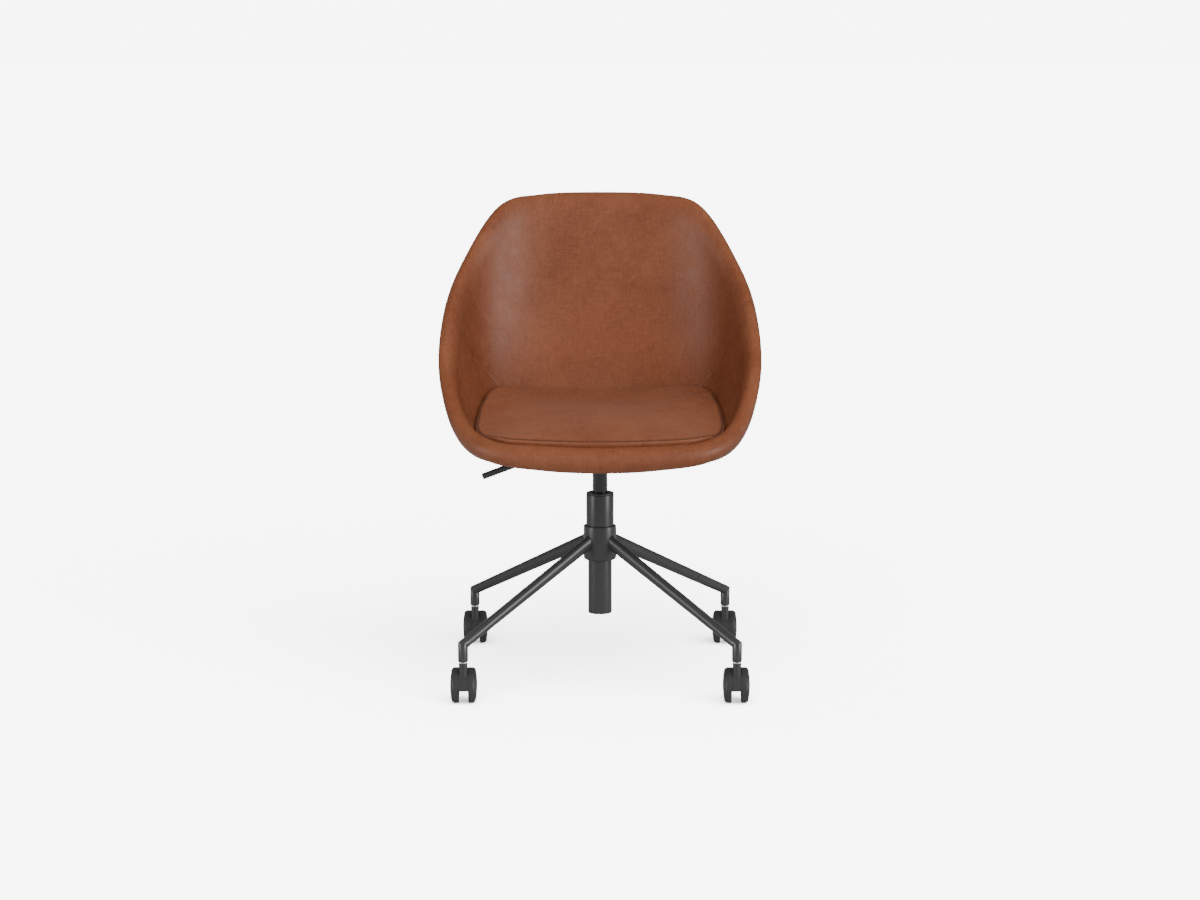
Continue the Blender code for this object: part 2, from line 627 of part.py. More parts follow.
def build_rod(axis):
    """The piston rod, held by a clip under the stand tube, with what it carries."""
    bearing_bottom = FLOOR_PLATE_TOP_Z + FIT_GAP
    bearing_top = bearing_bottom + BEARING_THICKNESS
    flange_bottom = bearing_top + FIT_GAP
    flange_top = flange_bottom + ROD_FLANGE_THICKNESS
    clip_top = FLOOR_PLATE_Z - FIT_GAP
    clip_bottom = clip_top - CLIP_THICKNESS
    stud_bottom = clip_bottom - CLIP_THICKNESS / 2
    groove_radius = ROD_STUD_RADIUS - CLIP_THICKNESS / 2
    piston_bottom = FLOOR_PLATE_TOP_Z + PISTON_HEIGHT_ABOVE_FLOOR_PLATE
    piston_top = piston_bottom + PISTON_THICKNESS
    shoulder = ROD_RADIUS + STAND_WALL / 2
    rod = [
        (0.0, piston_top + ROD_NUT_HEIGHT),
        (ROD_RADIUS, piston_top + ROD_NUT_HEIGHT),
        (ROD_RADIUS, piston_bottom - FIT_GAP),
        (shoulder, piston_bottom - FIT_GAP),
        (shoulder, piston_bottom - ROD_FLANGE_THICKNESS),
        (ROD_RADIUS, piston_bottom - ROD_FLANGE_THICKNESS),
        (ROD_RADIUS, flange_top),
        (ROD_FLANGE_RADIUS, flange_top),
        (ROD_FLANGE_RADIUS, flange_bottom),
        (ROD_STUD_RADIUS, flange_bottom),
        (ROD_STUD_RADIUS, clip_top),
        (groove_radius, clip_top),
        (groove_radius, clip_bottom),
        (ROD_STUD_RADIUS, clip_bottom),
        (ROD_STUD_RADIUS, stud_bottom),
        (0.0, stud_bottom),
    ]
    add_turned("piston_rod", rod, "bright_steel", parent=axis)
    ring_with_play = ROD_STUD_RADIUS + FIT_GAP
    bearing = ring(BEARING_OUTER_RADIUS, ring_with_play, bearing_bottom, bearing_top)
    add_turned("thrust_bearing", bearing, "bright_steel", parent=axis)
    play = FIT_GAP / 2
    clip = ring(CLIP_OUTER_RADIUS, groove_radius + FIT_GAP, clip_bottom + play, clip_top - play)
    add_turned("retaining_clip", clip, "bright_steel", parent=axis)
    rod_clear = ROD_RADIUS + FIT_GAP
    buffer = ring(BUFFER_OUTER_RADIUS, rod_clear, flange_top + FIT_GAP, flange_top + BUFFER_HEIGHT)
    add_turned("lift_buffer", buffer, "rubber_black", parent=axis)
    piston_radius = CYLINDER_RADIUS - CYLINDER_WALL - FIT_GAP
    piston = ring(piston_radius, rod_clear, piston_bottom, piston_top)
    add_turned("piston", piston, "bright_steel", parent=axis)


def ring(outer, inner, bottom, top):
    """Profile of a plain ring."""
    return [(outer, top), (outer, bottom), (inner, bottom), (inner, top)]


def build_cylinder(axis):
    """The gas cylinder, tapered where it sits in the seat's socket."""
    inner = CYLINDER_RADIUS - CYLINDER_WALL
    tip_radius = CYLINDER_RADIUS - CYLINDER_TAPER_DROP
    head_bottom = SOCKET_BOTTOM_Z - CYLINDER_HEAD_THICKNESS
    pin_bore = RELEASE_PIN_RADIUS + FIT_GAP
    rod_hole = ROD_RADIUS + FIT_GAP
    profile = [
        (pin_bore, CYLINDER_TOP_Z),
        (tip_radius, CYLINDER_TOP_Z),
        (CYLINDER_RADIUS, SOCKET_BOTTOM_Z),
        (CYLINDER_RADIUS, CYLINDER_BOTTOM_Z),
        (rod_hole, CYLINDER_BOTTOM_Z),
        (rod_hole, CYLINDER_BOTTOM_Z + CYLINDER_SEAL_THICKNESS),
        (inner, CYLINDER_BOTTOM_Z + CYLINDER_SEAL_THICKNESS),
        (inner, head_bottom),
        (pin_bore, head_bottom),
    ]
    add_turned("gas_cylinder", profile, "cylinder_black", FINE_SEGMENTS, parent=axis)
    pin_top = RELEASE_PIN_TOP_Z
    pin = [
        (0.0, pin_top),
        (RELEASE_PIN_RADIUS, pin_top),
        (RELEASE_PIN_RADIUS, pin_top - RELEASE_PIN_LENGTH),
        (0.0, pin_top - RELEASE_PIN_LENGTH),
    ]
    pin_axis = add_axis("axis_release_pin", (0, 0, 0), axis)
    add_turned("release_pin", pin, "bright_steel", HOLE_SEGMENTS, parent=pin_axis)


# Seat plate, socket and lever


def bolt_places():
    half = BOLT_SPACING / 2
    return [(x, y) for x in (-half, half) for y in (-half, half)]


def build_seat_plate(axis):
    half = SEAT_PLATE_SIZE / 2
    mesh = box_mesh(
        "seat_plate", (-half, -half, SEAT_PLATE_BOTTOM_Z), (half, half, SEAT_PLATE_TOP_Z))
    upright = bmesh.new()
    upright.from_mesh(mesh)
    corners = [edge for edge in upright.edges if abs(edge.verts[0].co.z - edge.verts[1].co.z) > FIT_GAP]
    bmesh.ops.bevel(
        upright, geom=corners, offset=SEAT_PLATE_CORNER, offset_type="OFFSET", segments=4,
        profile=0.5, affect="EDGES", material=-1)
    upright.to_mesh(mesh)
    upright.free()
    plate = add_piece("seat_plate", mesh, "powder_coat", parent=axis)
    for number, (x, y) in enumerate(bolt_places()):
        hole = cylinder_mesh(
            "plate_hole_%d" % number, BOLT_RADIUS + FIT_GAP,
            SEAT_PLATE_BOTTOM_Z - SEAT_PLATE_THICKNESS, SEAT_PLATE_TOP_Z + SEAT_PLATE_THICKNESS)
        combine(plate, add_tool("plate_hole_%d" % number, hole, (x, y, 0)), "DIFFERENCE")
    settle(plate)


def build_socket(axis):
    """The tapered socket under the plate, slotted for the lever."""
    bottom_bore = CYLINDER_RADIUS + FIT_GAP
    top_bore = CYLINDER_RADIUS - CYLINDER_TAPER_DROP + FIT_GAP
    top = SEAT_PLATE_BOTTOM_Z - FIT_GAP
    profile = [
        (SOCKET_OUTER_RADIUS, top),
        (SOCKET_OUTER_RADIUS, SOCKET_BOTTOM_Z),
        (bottom_bore, SOCKET_BOTTOM_Z),
        (top_bore, CYLINDER_TOP_Z),
        (top_bore, top),
    ]
    socket = add_turned("taper_socket", profile, "powder_coat", FINE_SEGMENTS, parent=axis)
    slot_half = LEVER_RADIUS + LEVER_SLOT_CLEARANCE
    slot_bottom = LEVER_PIVOT_Z - LEVER_RADIUS - LEVER_PRESS_TRAVEL - LEVER_SLOT_CLEARANCE
    slot = box_mesh(
        "lever_slot", (-2 * SOCKET_OUTER_RADIUS, -slot_half, slot_bottom),
        (0.0, slot_half, top + SOCKET_OUTER_RADIUS))
    combine(socket, add_tool("lever_slot", slot), "DIFFERENCE")
    settle(socket)


def build_bracket(axis):
    """The ears under the plate that carry the lever's pivot."""
    top = SEAT_PLATE_BOTTOM_Z - FIT_GAP
    bottom = LEVER_PIVOT_Z - BRACKET_BELOW_PIVOT
    inner = LEVER_RADIUS + LEVER_SLOT_CLEARANCE / 2
    outer = inner + BRACKET_WALL
    low_x = -LEVER_PIVOT_OFFSET - BRACKET_LENGTH / 2
    high_x = -LEVER_PIVOT_OFFSET + BRACKET_LENGTH / 2
    mesh = box_mesh("lever_bracket", (low_x, -outer, bottom), (high_x, outer, top))
    bracket = add_piece("lever_bracket", mesh, "powder_coat", parent=axis)
    channel = box_mesh(
        "bracket_channel", (low_x - BRACKET_WALL, -inner, bottom - BRACKET_WALL),
        (high_x + BRACKET_WALL, inner, top - BRACKET_WEB))
    combine(bracket, add_tool("bracket_channel", channel), "DIFFERENCE")
    hole = cylinder_mesh("bracket_hole", LEVER_PIVOT_PIN_RADIUS + FIT_GAP, -2 * outer, 2 * outer)
    at_pivot = Matrix.Translation((-LEVER_PIVOT_OFFSET, 0, LEVER_PIVOT_Z))
    along_y = at_pivot @ Matrix.Rotation(math.pi / 2, 4, "X")
    hole.transform(along_y)
    combine(bracket, add_tool("bracket_hole", hole), "DIFFERENCE")
    settle(bracket)
    pin = cylinder_mesh("lever_pivot", LEVER_PIVOT_PIN_RADIUS, -outer, outer)
    pin.transform(along_y)
    smooth(pin)
    add_piece("lever_pivot", pin, "bright_steel", parent=axis)


def build_lever(axis):
    """A bent rod: level over the release pin, then sloping down and out to the hand."""
    slope = math.tan(math.radians(LEVER_SLOPE_DEG))
    bend = LEVER_TIP_REACH - LEVER_DROP / slope
    turn_length = LEVER_RADIUS * 2
    points = [(LEVER_INNER_REACH, 0.0), (-bend + turn_length, 0.0)]
    for step in (0.5, 1.0):
        points.append((-bend + turn_length * (1 - 2 * step), -slope * turn_length * step ** 2))
    points.append((-LEVER_TIP_REACH, -LEVER_DROP))
    pivot_axis = add_axis("axis_lever", (-LEVER_PIVOT_OFFSET, 0, LEVER_PIVOT_Z), axis)
    curve = bpy.data.curves.new("lever_rod", "CURVE")
    curve.dimensions = "3D"
    curve.bevel_depth = LEVER_RADIUS
    curve.bevel_resolution = 3
    curve.use_fill_caps = True
    spline = curve.splines.new("POLY")
    spline.points.add(len(points) - 1)
    for point, (x, z) in zip(spline.points, points):
        point.co = (x + LEVER_PIVOT_OFFSET, 0.0, z, 1.0)
    rod = add_tool("lever_rod", curve)
    mesh = finished_mesh(rod)
    bpy.data.objects.remove(rod, do_unlink=True)
    shape = bmesh.new()
    shape.from_mesh(mesh)
    bmesh.ops.remove_doubles(shape, verts=shape.verts, dist=0.00001)
    shape.to_mesh(mesh)
    shape.free()
    lever = add_piece("lift_lever", mesh, "powder_coat", parent=pivot_axis)
    hole = cylinder_mesh("lever_hole", LEVER_PIVOT_PIN_RADIUS + FIT_GAP, -2 * LEVER_RADIUS, 2 * LEVER_RADIUS)
    hole.transform(Matrix.Rotation(math.pi / 2, 4, "X"))
    tool = add_tool("lever_hole", hole, parent=pivot_axis)
    combine(lever, tool, "DIFFERENCE")
    settle(lever)


def build_fasteners(axis):
    """Bolts from below through the plate, into flanged nuts let into the shell's core."""
    core_top = CORE_BOTTOM_Z + SHELL_CORE_THICKNESS
    head_top = SEAT_PLATE_BOTTOM_Z - FIT_GAP
    head_bottom = head_top - BOLT_HEAD_HEIGHT
    head = cylinder_mesh("bolt_head", BOLT_HEAD_RADIUS, head_bottom, head_top, 6)
    pattern = add_piece("bolt_pattern", head, "bright_steel")
    shank_top = core_top - BOLT_END_MARGIN
    shank = cylinder_mesh("bolt_shank", BOLT_RADIUS, (head_bottom + head_top) / 2, shank_top)
    combine(pattern, add_tool("bolt_shank", shank), "UNION")
    settle(pattern)
    bolt_mesh = pattern.data
    bpy.data.objects.remove(pattern, do_unlink=True)
    flange_top = core_top - FIT_GAP
    flange_bottom = flange_top - TNUT_FLANGE_THICKNESS
    bore = BOLT_RADIUS + FIT_GAP
    nut = [
        (TNUT_FLANGE_RADIUS, flange_top),
        (TNUT_FLANGE_RADIUS, flange_bottom),
        (TNUT_BARREL_RADIUS, flange_bottom),
        (TNUT_BARREL_RADIUS, CORE_BOTTOM_Z + FIT_GAP),
        (bore, CORE_BOTTOM_Z + FIT_GAP),
        (bore, flange_top),
    ]
    for index, (x, y) in enumerate(bolt_places()):
        placing = {"parent": axis, "place": (x, y, 0)}
        add_piece("seat_bolt_%d" % (index + 1), bolt_mesh.copy(), "bright_steel", **placing)
        add_turned("flanged_nut_%d" % (index + 1), nut, "bright_steel", HOLE_SEGMENTS, **placing)


# Bucket shell


def blend_stations(position):
    """The stations' numbers at a position between them, as a smooth curve through each."""
    last = len(RIM_STATIONS) - 1
    index = min(int(position), last - 1)
    part = position - index

    def row(number):
        if number < 0:
            mirrored = RIM_STATIONS[-number]
            return (-mirrored[0],) + mirrored[1:]
        if number > last:
            mirrored = RIM_STATIONS[2 * last - number]
            return (-mirrored[0],) + mirrored[1:]
        return RIM_STATIONS[number]

    before, start, end, after = (row(index + offset) for offset in (-1, 0, 1, 2))
    values = []
    for a, b, c, d in zip(before, start, end, after):
        bend = (2 * a - 5 * b + 4 * c - d) * part ** 2 + (3 * b - a - 3 * c + d) * part ** 3
        values.append(0.5 * (2 * b + (c - a) * part + bend))
    return values


def ease(share):
    """A share from 0 to 1 that starts and ends gently."""
    share = min(max(share, 0.0), 1.0)
    return share * share * (3 - 2 * share)


class Meridian:
    """The bucket's section in the upright plane through the column's axis and one rim point.

    The middle of the wall is a Bezier curve from the flat floor (share 0) to the rim (share 1).
    """

    def __init__(self, position):
        across, along, up, lean, floor_pull, rim_pull, edge, cushion, boxing = blend_stations(position)
        x = across * RIM_HALF_WIDTH
        y = along * (RIM_FRONT_REACH + RIM_BACK_REACH) - RIM_FRONT_REACH
        reach = math.hypot(x, y)
        height = LIP_Z + up * BACK_ABOVE_LIP
        lean = math.radians(lean)
        floor_pull *= RIM_HALF_WIDTH
        rim_pull *= RIM_HALF_WIDTH
        self.heading = (x / reach, y / reach)
        self.rim_pull = rim_pull
        self.edge = edge * LIP_RADIUS
        self.cushion_reach = cushion * reach
        self.boxing = boxing * CUSHION_THICKNESS
        self.control = (
            Vector((SHELL_FLAT_RADIUS, BUCKET_Z)),
            Vector((SHELL_FLAT_RADIUS + floor_pull, BUCKET_Z)),
            Vector((reach - rim_pull * math.cos(lean), height - rim_pull * math.sin(lean))),
            Vector((reach, height)),
        )

    def middle(self, share):
        a, b, c, d = self.control
        rest = 1 - share
        return a * rest ** 3 + b * 3 * share * rest ** 2 + c * 3 * share ** 2 * rest + d * share ** 3

    def along_wall(self, share):
        a, b, c, d = self.control
        rest = 1 - share
        slope = (b - a) * rest ** 2 + (c - b) * 2 * share * rest + (d - c) * share ** 2
        return slope.normalized()

    def wall(self, share, distance):
        """A point at a distance off the wall's middle, toward the sitter where it is positive."""
        along = self.along_wall(share)
        return self.middle(share) + Vector((-along.y, along.x)) * distance

    def seat_side(self, share):
        swell = ease((share - FOAM_SWELL_START) / (1 - FOAM_SWELL_START))
        return SEAT_SIDE_HALF + (self.edge - SEAT_SIDE_HALF) * swell

    def outer_side(self, share):
        return UNDERSIDE_HALF + (self.edge - UNDERSIDE_HALF) * ease(share)

    def share_before_rim(self, distance):
        return 1 - distance / (3 * self.rim_pull)

    def cushion_share(self):
        """The share at which the seat-side face reaches the cushion's edge."""
        low, high = 0.0, 1.0
        for _ in range(30):
            middle = (low + high) / 2
            if self.wall(middle, self.seat_side(middle)).x < self.cushion_reach:
                low = middle
            else:
                high = middle
        return low

    def place(self, points):
        """Points (distance from the column, height) as points in space."""
        return [(point[0] * self.heading[0], point[0] * self.heading[1], point[1]) for point in points]


def gap_at(share, gap):
    """A close fit on the flat floor, and a little more where the wall curves."""
    return FIT_GAP + (gap - FIT_GAP) * min(1.0, share * 5)


def meridians():
    """The half from the front centre, over the sitter's left side, to the back centre."""
    positions = [0.0]
    for station, steps in enumerate(RIM_STEPS):
        positions += [station + step / steps for step in range(1, steps + 1)]
    return [Meridian(position) for position in positions]


def wall_shares(meridian):
    """Where the layers that touch the core have their points, from the floor to the core's edge."""
    seam = meridian.share_before_rim(REAR_SEAM_DROP)
    edge = meridian.share_before_rim(CORE_INSET)
    return [seam * step / WALL_STEPS for step in range(WALL_STEPS + 1)] + [(seam + edge) / 2, edge]


def core_section(meridian):
    shares = wall_shares(meridian)
    points = [(0.0, BUCKET_Z + CORE_HALF)]
    points += [meridian.wall(share, CORE_HALF) for share in shares]
    points += [meridian.wall(share, -CORE_HALF) for share in reversed(shares)]
    points.append((0.0, BUCKET_Z - CORE_HALF))
    return meridian.place(points)


def seat_cover_section(meridian):
    """Foam and leather over the seat side and round the rim, down to the seam behind it."""
    cushion_end = meridian.cushion_share()
    shares = [cushion_end * step / CUSHION_FLOOR_STEPS for step in range(CUSHION_FLOOR_STEPS)]
    for step in range(CUSHION_RIM_STEPS + 1):
        shares.append(cushion_end + (1 - cushion_end) * step / CUSHION_RIM_STEPS)
    points = [(0.0, BUCKET_Z + SEAT_SIDE_HALF)]
    points += [meridian.wall(share, meridian.seat_side(share)) for share in shares]
    rim = meridian.middle(1)
    along = meridian.along_wall(1)
    inward = Vector((-along.y, along.x))
    for step in range(1, RIM_ROLL_STEPS):
        angle = math.pi * step / RIM_ROLL_STEPS
        points.append(rim + (inward * math.cos(angle) + along * math.sin(angle)) * meridian.edge)
    layers = wall_shares(meridian)
    seam = layers[WALL_STEPS]
    for share in (1.0, (1 + seam) / 2, seam):
        points.append(meridian.wall(share, -meridian.outer_side(share)))
    pocket = CORE_HALF + LAYER_GAP
    pocket_end = layers[-1] + LAYER_GAP / (3 * meridian.rim_pull)
    points += [meridian.wall(share, -pocket) for share in layers[WALL_STEPS:-1] + [pocket_end]]
    for share in [pocket_end] + layers[-2::-1]:
        points.append(meridian.wall(share, CORE_HALF + gap_at(share, LAYER_GAP)))
    points.append((0.0, BUCKET_Z + CORE_HALF + FIT_GAP))
    return meridian.place(points)


def outer_cover_section(meridian):
    """Pad and leather on the back and underside, open round the seat plate."""
    layers = wall_shares(meridian)[:WALL_STEPS]
    seam = meridian.share_before_rim(REAR_SEAM_DROP) - LAYER_GAP / (3 * meridian.rim_pull)
    shares = layers + [seam]
    points = [meridian.wall(share, -meridian.outer_side(share)) for share in reversed(shares)]
    points.append(Vector((SHELL_OPENING_RADIUS, BUCKET_Z - UNDERSIDE_HALF)))
    points.append(Vector((SHELL_OPENING_RADIUS, BUCKET_Z - CORE_HALF - FIT_GAP)))
    points += [meridian.wall(share, -CORE_HALF - gap_at(share, LAYER_GAP)) for share in shares]
    return meridian.place(points)


def cushion_section(meridian):
    """A pad that follows the bucket's floor, with upright sides and a crowned top."""
    end = meridian.cushion_share()
    points = [(0.0, BUCKET_Z + SEAT_SIDE_HALF + FIT_GAP)]
    for step in range(CUSHION_FLOOR_STEPS + 1):
        share = end * step / CUSHION_FLOOR_STEPS
        points.append(meridian.wall(share, meridian.seat_side(share) + gap_at(share, CUSHION_GAP)))
    bottom = points[-1]
    seam = bottom + Vector((-CUSHION_DRAW_IN, meridian.boxing))
    points.append(bottom + Vector((CUSHION_BULGE, meridian.boxing / 2)))
    points.append(seam)
    crown = BUCKET_Z + SEAT_SIDE_HALF + CUSHION_THICKNESS - CUSHION_PUFF
    for share in (0.985, 0.95, 0.86, 0.66, 0.36, 0.0):
        height = crown + (seam.y - crown) * share ** 3 + CUSHION_PUFF * (1 - share ** 8)
        points.append(Vector((seam.x * share, height)))
    return meridian.place(points[::-1])


def add_mirrored(name, sections, kind, closed, axis):
    """Half of a bucket layer as a loft over its meridians, mirrored across the chair's middle."""
    mesh = loft(name, sections, closed)
    piece = add_piece(name, mesh, kind, parent=axis)
    mirror = piece.modifiers.new("other half", "MIRROR")
    mirror.use_axis = (True, False, False)
    mirror.merge_threshold = 0.00001
    mesh.shade_smooth()
    return piece


def build_shell(axis):
    lines = meridians()
    core = add_mirrored("shell_core", [core_section(line) for line in lines], "moulded_shell", False, axis)
    for number, (x, y) in enumerate(bolt_places()):
        top = BUCKET_Z + CORE_HALF + FIT_GAP
        flange_floor = BUCKET_Z + CORE_HALF - 2 * FIT_GAP - TNUT_FLANGE_THICKNESS
        below = CORE_BOTTOM_Z - SHELL_CORE_THICKNESS
        profile = [
            (0.0, top + SHELL_CORE_THICKNESS),
            (TNUT_FLANGE_RADIUS + FIT_GAP, top + SHELL_CORE_THICKNESS),
            (TNUT_FLANGE_RADIUS + FIT_GAP, flange_floor),
            (TNUT_BARREL_RADIUS + FIT_GAP, flange_floor),
            (TNUT_BARREL_RADIUS + FIT_GAP, below),
            (0.0, below),
        ]
        name = "nut_hole_%d" % number
        cutter = add_tool(name, profile_mesh(name, profile, False), (x, y, 0), parent=axis)
        turn_profile(cutter, HOLE_SEGMENTS)
        combine(core, cutter, "DIFFERENCE")
    add_mirrored("seat_cover", [seat_cover_section(line) for line in lines], "leather", False, axis)
    add_mirrored("outer_cover", [outer_cover_section(line) for line in lines], "leather", True, axis)
    add_mirrored("seat_cushion", [cushion_section(line) for line in lines], "leather", False, axis)


def main():
    build_base()
    build_stand_tube()
    build_bushing()
    rod_axis = add_axis("axis_swivel", (0, 0, 0))
    build_rod(rod_axis)
    seat_axis = add_axis("axis_lift", (0, 0, 0), rod_axis)
    build_cylinder(seat_axis)
    build_seat_plate(seat_axis)
    build_socket(seat_axis)
    build_bracket(seat_axis)
    build_lever(seat_axis)
    build_fasteners(seat_axis)
    build_shell(seat_axis)


clear_scene()
PARTS = make_collection("tub_chair")
CUTTERS = make_collection("tub_chair_cutters")
main()
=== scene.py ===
"""Swivel tub chair in saddle leather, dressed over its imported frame.

Metres, +Z up. The sitter faces -Y, and the column stands on the origin.
"""
import json
import math
from bisect import bisect_left
from functools import cache

import bmesh
import bpy
from bpy.props import FloatProperty, FloatVectorProperty, IntProperty, PointerProperty
from mathutils import Matrix, Vector, noise


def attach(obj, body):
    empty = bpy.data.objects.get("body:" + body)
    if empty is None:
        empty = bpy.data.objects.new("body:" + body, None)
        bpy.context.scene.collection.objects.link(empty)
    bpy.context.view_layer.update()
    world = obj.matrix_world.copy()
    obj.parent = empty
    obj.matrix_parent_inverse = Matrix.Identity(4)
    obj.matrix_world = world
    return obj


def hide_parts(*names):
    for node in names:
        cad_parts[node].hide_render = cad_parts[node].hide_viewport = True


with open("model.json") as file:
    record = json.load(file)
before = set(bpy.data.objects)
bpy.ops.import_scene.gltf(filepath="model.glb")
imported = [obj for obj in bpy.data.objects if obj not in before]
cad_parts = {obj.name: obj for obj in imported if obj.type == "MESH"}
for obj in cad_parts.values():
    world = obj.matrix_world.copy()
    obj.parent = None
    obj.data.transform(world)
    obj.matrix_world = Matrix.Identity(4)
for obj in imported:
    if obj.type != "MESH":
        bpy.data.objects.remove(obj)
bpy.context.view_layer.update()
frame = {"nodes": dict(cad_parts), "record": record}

bl_info = {
    "name": "Tub chair dressing",
    "version": (1, 0, 0),
    "blender": (4, 5, 0),
    "location": "View3D > Sidebar > Tub chair",
    "description": "Builds the leather, the metal and the studio of a swivel tub chair",
    "category": "Object",
}

# Casters
CASTER_RADIUS = 0.350
CASTER_TRAIL = 0.018
WHEEL_RADIUS = 0.0323
WHEEL_WIDTH = 0.0156
WHEEL_DOME = 0.0022
WHEEL_EDGE = 0.0065
WHEEL_GROOVE = 0.0006
WEB_WIDTH = 0.0174
WEB_MARGIN = 0.0005
NOTCH_HEIGHT = 0.0270
NECK_RADIUS = 0.00775
NECK_LIP = 0.0004
NECK_RISE = 0.0117
NECK_DEPTH = 0.0300
SWIVEL_BORE = 0.0039
SWIVEL_DEPTH = 0.0120
FIT_GAP = 0.0003

# Stems, feet and legs
COLLAR_RADIUS = 0.0074
COLLAR_HEIGHT = 0.0031
STEM_RADIUS = 0.0052
PIN_RADIUS = 0.0036
STEM_REACH = 0.0100
FOOT_RADIUS = 0.00915
FOOT_LENGTH = 0.0309
LEG_RISE = 0.1442
LEG_ROOT_WIDTH = 0.0072
LEG_ROOT_HEIGHT = 0.0138
LEG_INSET = 0.0040
MITRE_SPARE = 0.0200
MITRE_HALF_GAP = 0.00015
MITRE_SOFT = 0.0003

# Hub and column
HUB_RADIUS = 0.0308
HUB_HEIGHT = 0.0650
HUB_BELOW_LEG_ROOT = 0.0345
HUB_RECESS_GAP = 0.0022
HUB_RECESS_DEPTH = 0.0040
STAND_UPPER_RADIUS = 0.0260
STAND_TAPER_RADIUS = 0.0252
STAND_LOWER_RADIUS = 0.02235
STAND_ABOVE_HUB = 0.0592
STAND_BELOW_HUB = 0.1025
STAND_STEP = 0.0040
STAND_WALL = 0.0022
STAND_FLOOR_LOW = 0.0050
STAND_FLOOR_HIGH = 0.0090
ROD_HOLE = 0.0046
BUSHING_FLANGE = 0.0037
BUSHING_DEPTH = 0.0500
CYLINDER_RADIUS = 0.0140
CYLINDER_GAP = 0.0004

# Heights
NECK_TOP = 2 * WHEEL_RADIUS + NECK_RISE
COLLAR_BOTTOM = NECK_TOP + FIT_GAP
COLLAR_TOP = COLLAR_BOTTOM + COLLAR_HEIGHT
FOOT_BOTTOM = COLLAR_TOP + FIT_GAP
MITRE = FOOT_BOTTOM + FOOT_LENGTH
LEG_ROOT = MITRE + LEG_RISE
HUB_BOTTOM = LEG_ROOT - HUB_BELOW_LEG_ROOT
HUB_TOP = HUB_BOTTOM + HUB_HEIGHT
STAND_TOP = HUB_TOP + STAND_ABOVE_HUB
STAND_BOTTOM = HUB_BOTTOM - STAND_BELOW_HUB
LEG_SLOPE = LEG_RISE / (CASTER_RADIUS - HUB_RADIUS)

# Lever
LEVER_RADIUS = 0.0060
LEVER_TIP = 0.2205
LEVER_DROP = 0.0480
LEVER_SLOPE = math.radians(20.7)
LEVER_HEIGHT = 0.4258
LEVER_BEND = 0.0300
LEVER_END = 0.0012

# Bucket
BUCKET_FLOOR = 0.4440
FLAT_RADIUS = 0.1100
CORE_HALF = 0.0045
SEAT_HALF = 0.0145
UNDER_HALF = 0.0100
OPENING_RADIUS = 0.1040
OPENING_ROLL = 0.0025
HALF_WIDTH = 0.2814
FRONT_REACH = 0.2700
BACK_REACH = 0.2750
LIP_RADIUS = 0.0230
LIP_RISE = 0.0066
BACK_RISE = 0.4285
REAR_SEAM_DROP = 0.0200
LINING_END = 0.0050
LAYER_GAP = 0.0010
RIM_SOFTNESS = 0.0300

# The rim from the front centre round the sitter's left side to the back centre.
# across, along and up are shares of the rim's half width, depth and rise; lean is the wall's
# angle there, the pulls shape the wall's curve as shares of the half width, and edge is the
# rim's radius as a share of the lip's. cushion is the cushion's edge as a share of the rim's
# distance, and boxing its side's height as a share of its thickness.
RIM = (
    (0.000, 0.0000, 0.0000, 6.0, 0.320, 0.178, 1.000, 0.889, 0.333),
    (0.351, 0.0147, 0.0063, 6.0, 0.355, 0.178, 0.978, 0.915, 0.250),
    (0.690, 0.0644, 0.0268, 18.0, 0.424, 0.188, 0.843, 0.927, 0.209),
    (0.886, 0.1910, 0.1015, 70.0, 0.494, 0.172, 0.765, 0.891, 0.202),
    (0.999, 0.3670, 0.3104, 82.0, 0.480, 0.355, 0.704, 0.813, 0.200),
    (0.987, 0.5505, 0.5405, 84.0, 0.498, 0.533, 0.652, 0.801, 0.200),
    (0.890, 0.7431, 0.7286, 85.0, 0.515, 0.711, 0.652, 0.799, 0.200),
    (0.677, 0.9028, 0.9470, 80.0, 0.444, 0.853, 0.652, 0.678, 0.220),
    (0.406, 0.9780, 0.9916, 77.0, 0.398, 0.924, 0.652, 0.641, 0.240),
    (0.000, 1.0000, 1.0000, 76.0, 0.384, 0.960, 0.652, 0.640, 0.250),
)
LAST = len(RIM) - 1

# The seam between the back panel and a side panel: its places along the rim at the top and at the
# floor, and where up the wall it moves from one to the other, as shares of the wall
SEAM_AT_RIM = 5.08
SEAM_AT_FLOOR = 6.20
SEAM_START = 0.42
SEAM_RUN = 0.55

# The place along the rim from which its padding rounds off more softly, and over how many places
SOFT_FROM = 2.6
SOFT_RUN = 1.4

# How much of a seam's valley each leather shows, and of the slow wave the rim shows
LINING_VALLEY = 0.35
BACK_VALLEY = 0.60
RIM_WAVE = 0.40

# Cushion
CUSHION_THICKNESS = 0.0415
CUSHION_PUFF = 0.0080
CUSHION_GAP = 0.0014
CUSHION_DRAW_IN = 0.0012
CUSHION_TUCK = 0.0030
CUSHION_CROWN = 0.0050
BOXING_SWELL = 0.0024
TOP_ROLL = (0.0015, 0.0028)
BOXING_ROLL = (0.0011, 0.0016)
ROLL_RISE = 0.0007
SEAM_SINK = 0.0009

# How dark the seams are painted, and the painted shade in the creases and over the cushion's rear, from 0 to
# 1
SEAM_DARK = 1.0
BOXING_FOOT_PAINTED_SHADE = 0.9
LIP_DARK = 0.8
CREASE_PAINTED_SHADE = 0.75
BACK_SEAM_DARK = 0.6
LINING_SEAM_DARK = 0.35
ROLL_DARK = 0.35
CREASE_HALO_PAINTED_SHADE = 0.20
REAR_PAINTED_SHADE = 0.30

# How far up the wall the painted shade in the crease round the cushion reaches, and its halo, and from which
# depth of the cushion's top the painted shade toward its rear sets in, and over what run
CREASE_WIDTH = 0.0050
CREASE_FADE = 0.0600
REAR_SHADE_START = -0.10
REAR_SHADE_RUN = 0.25


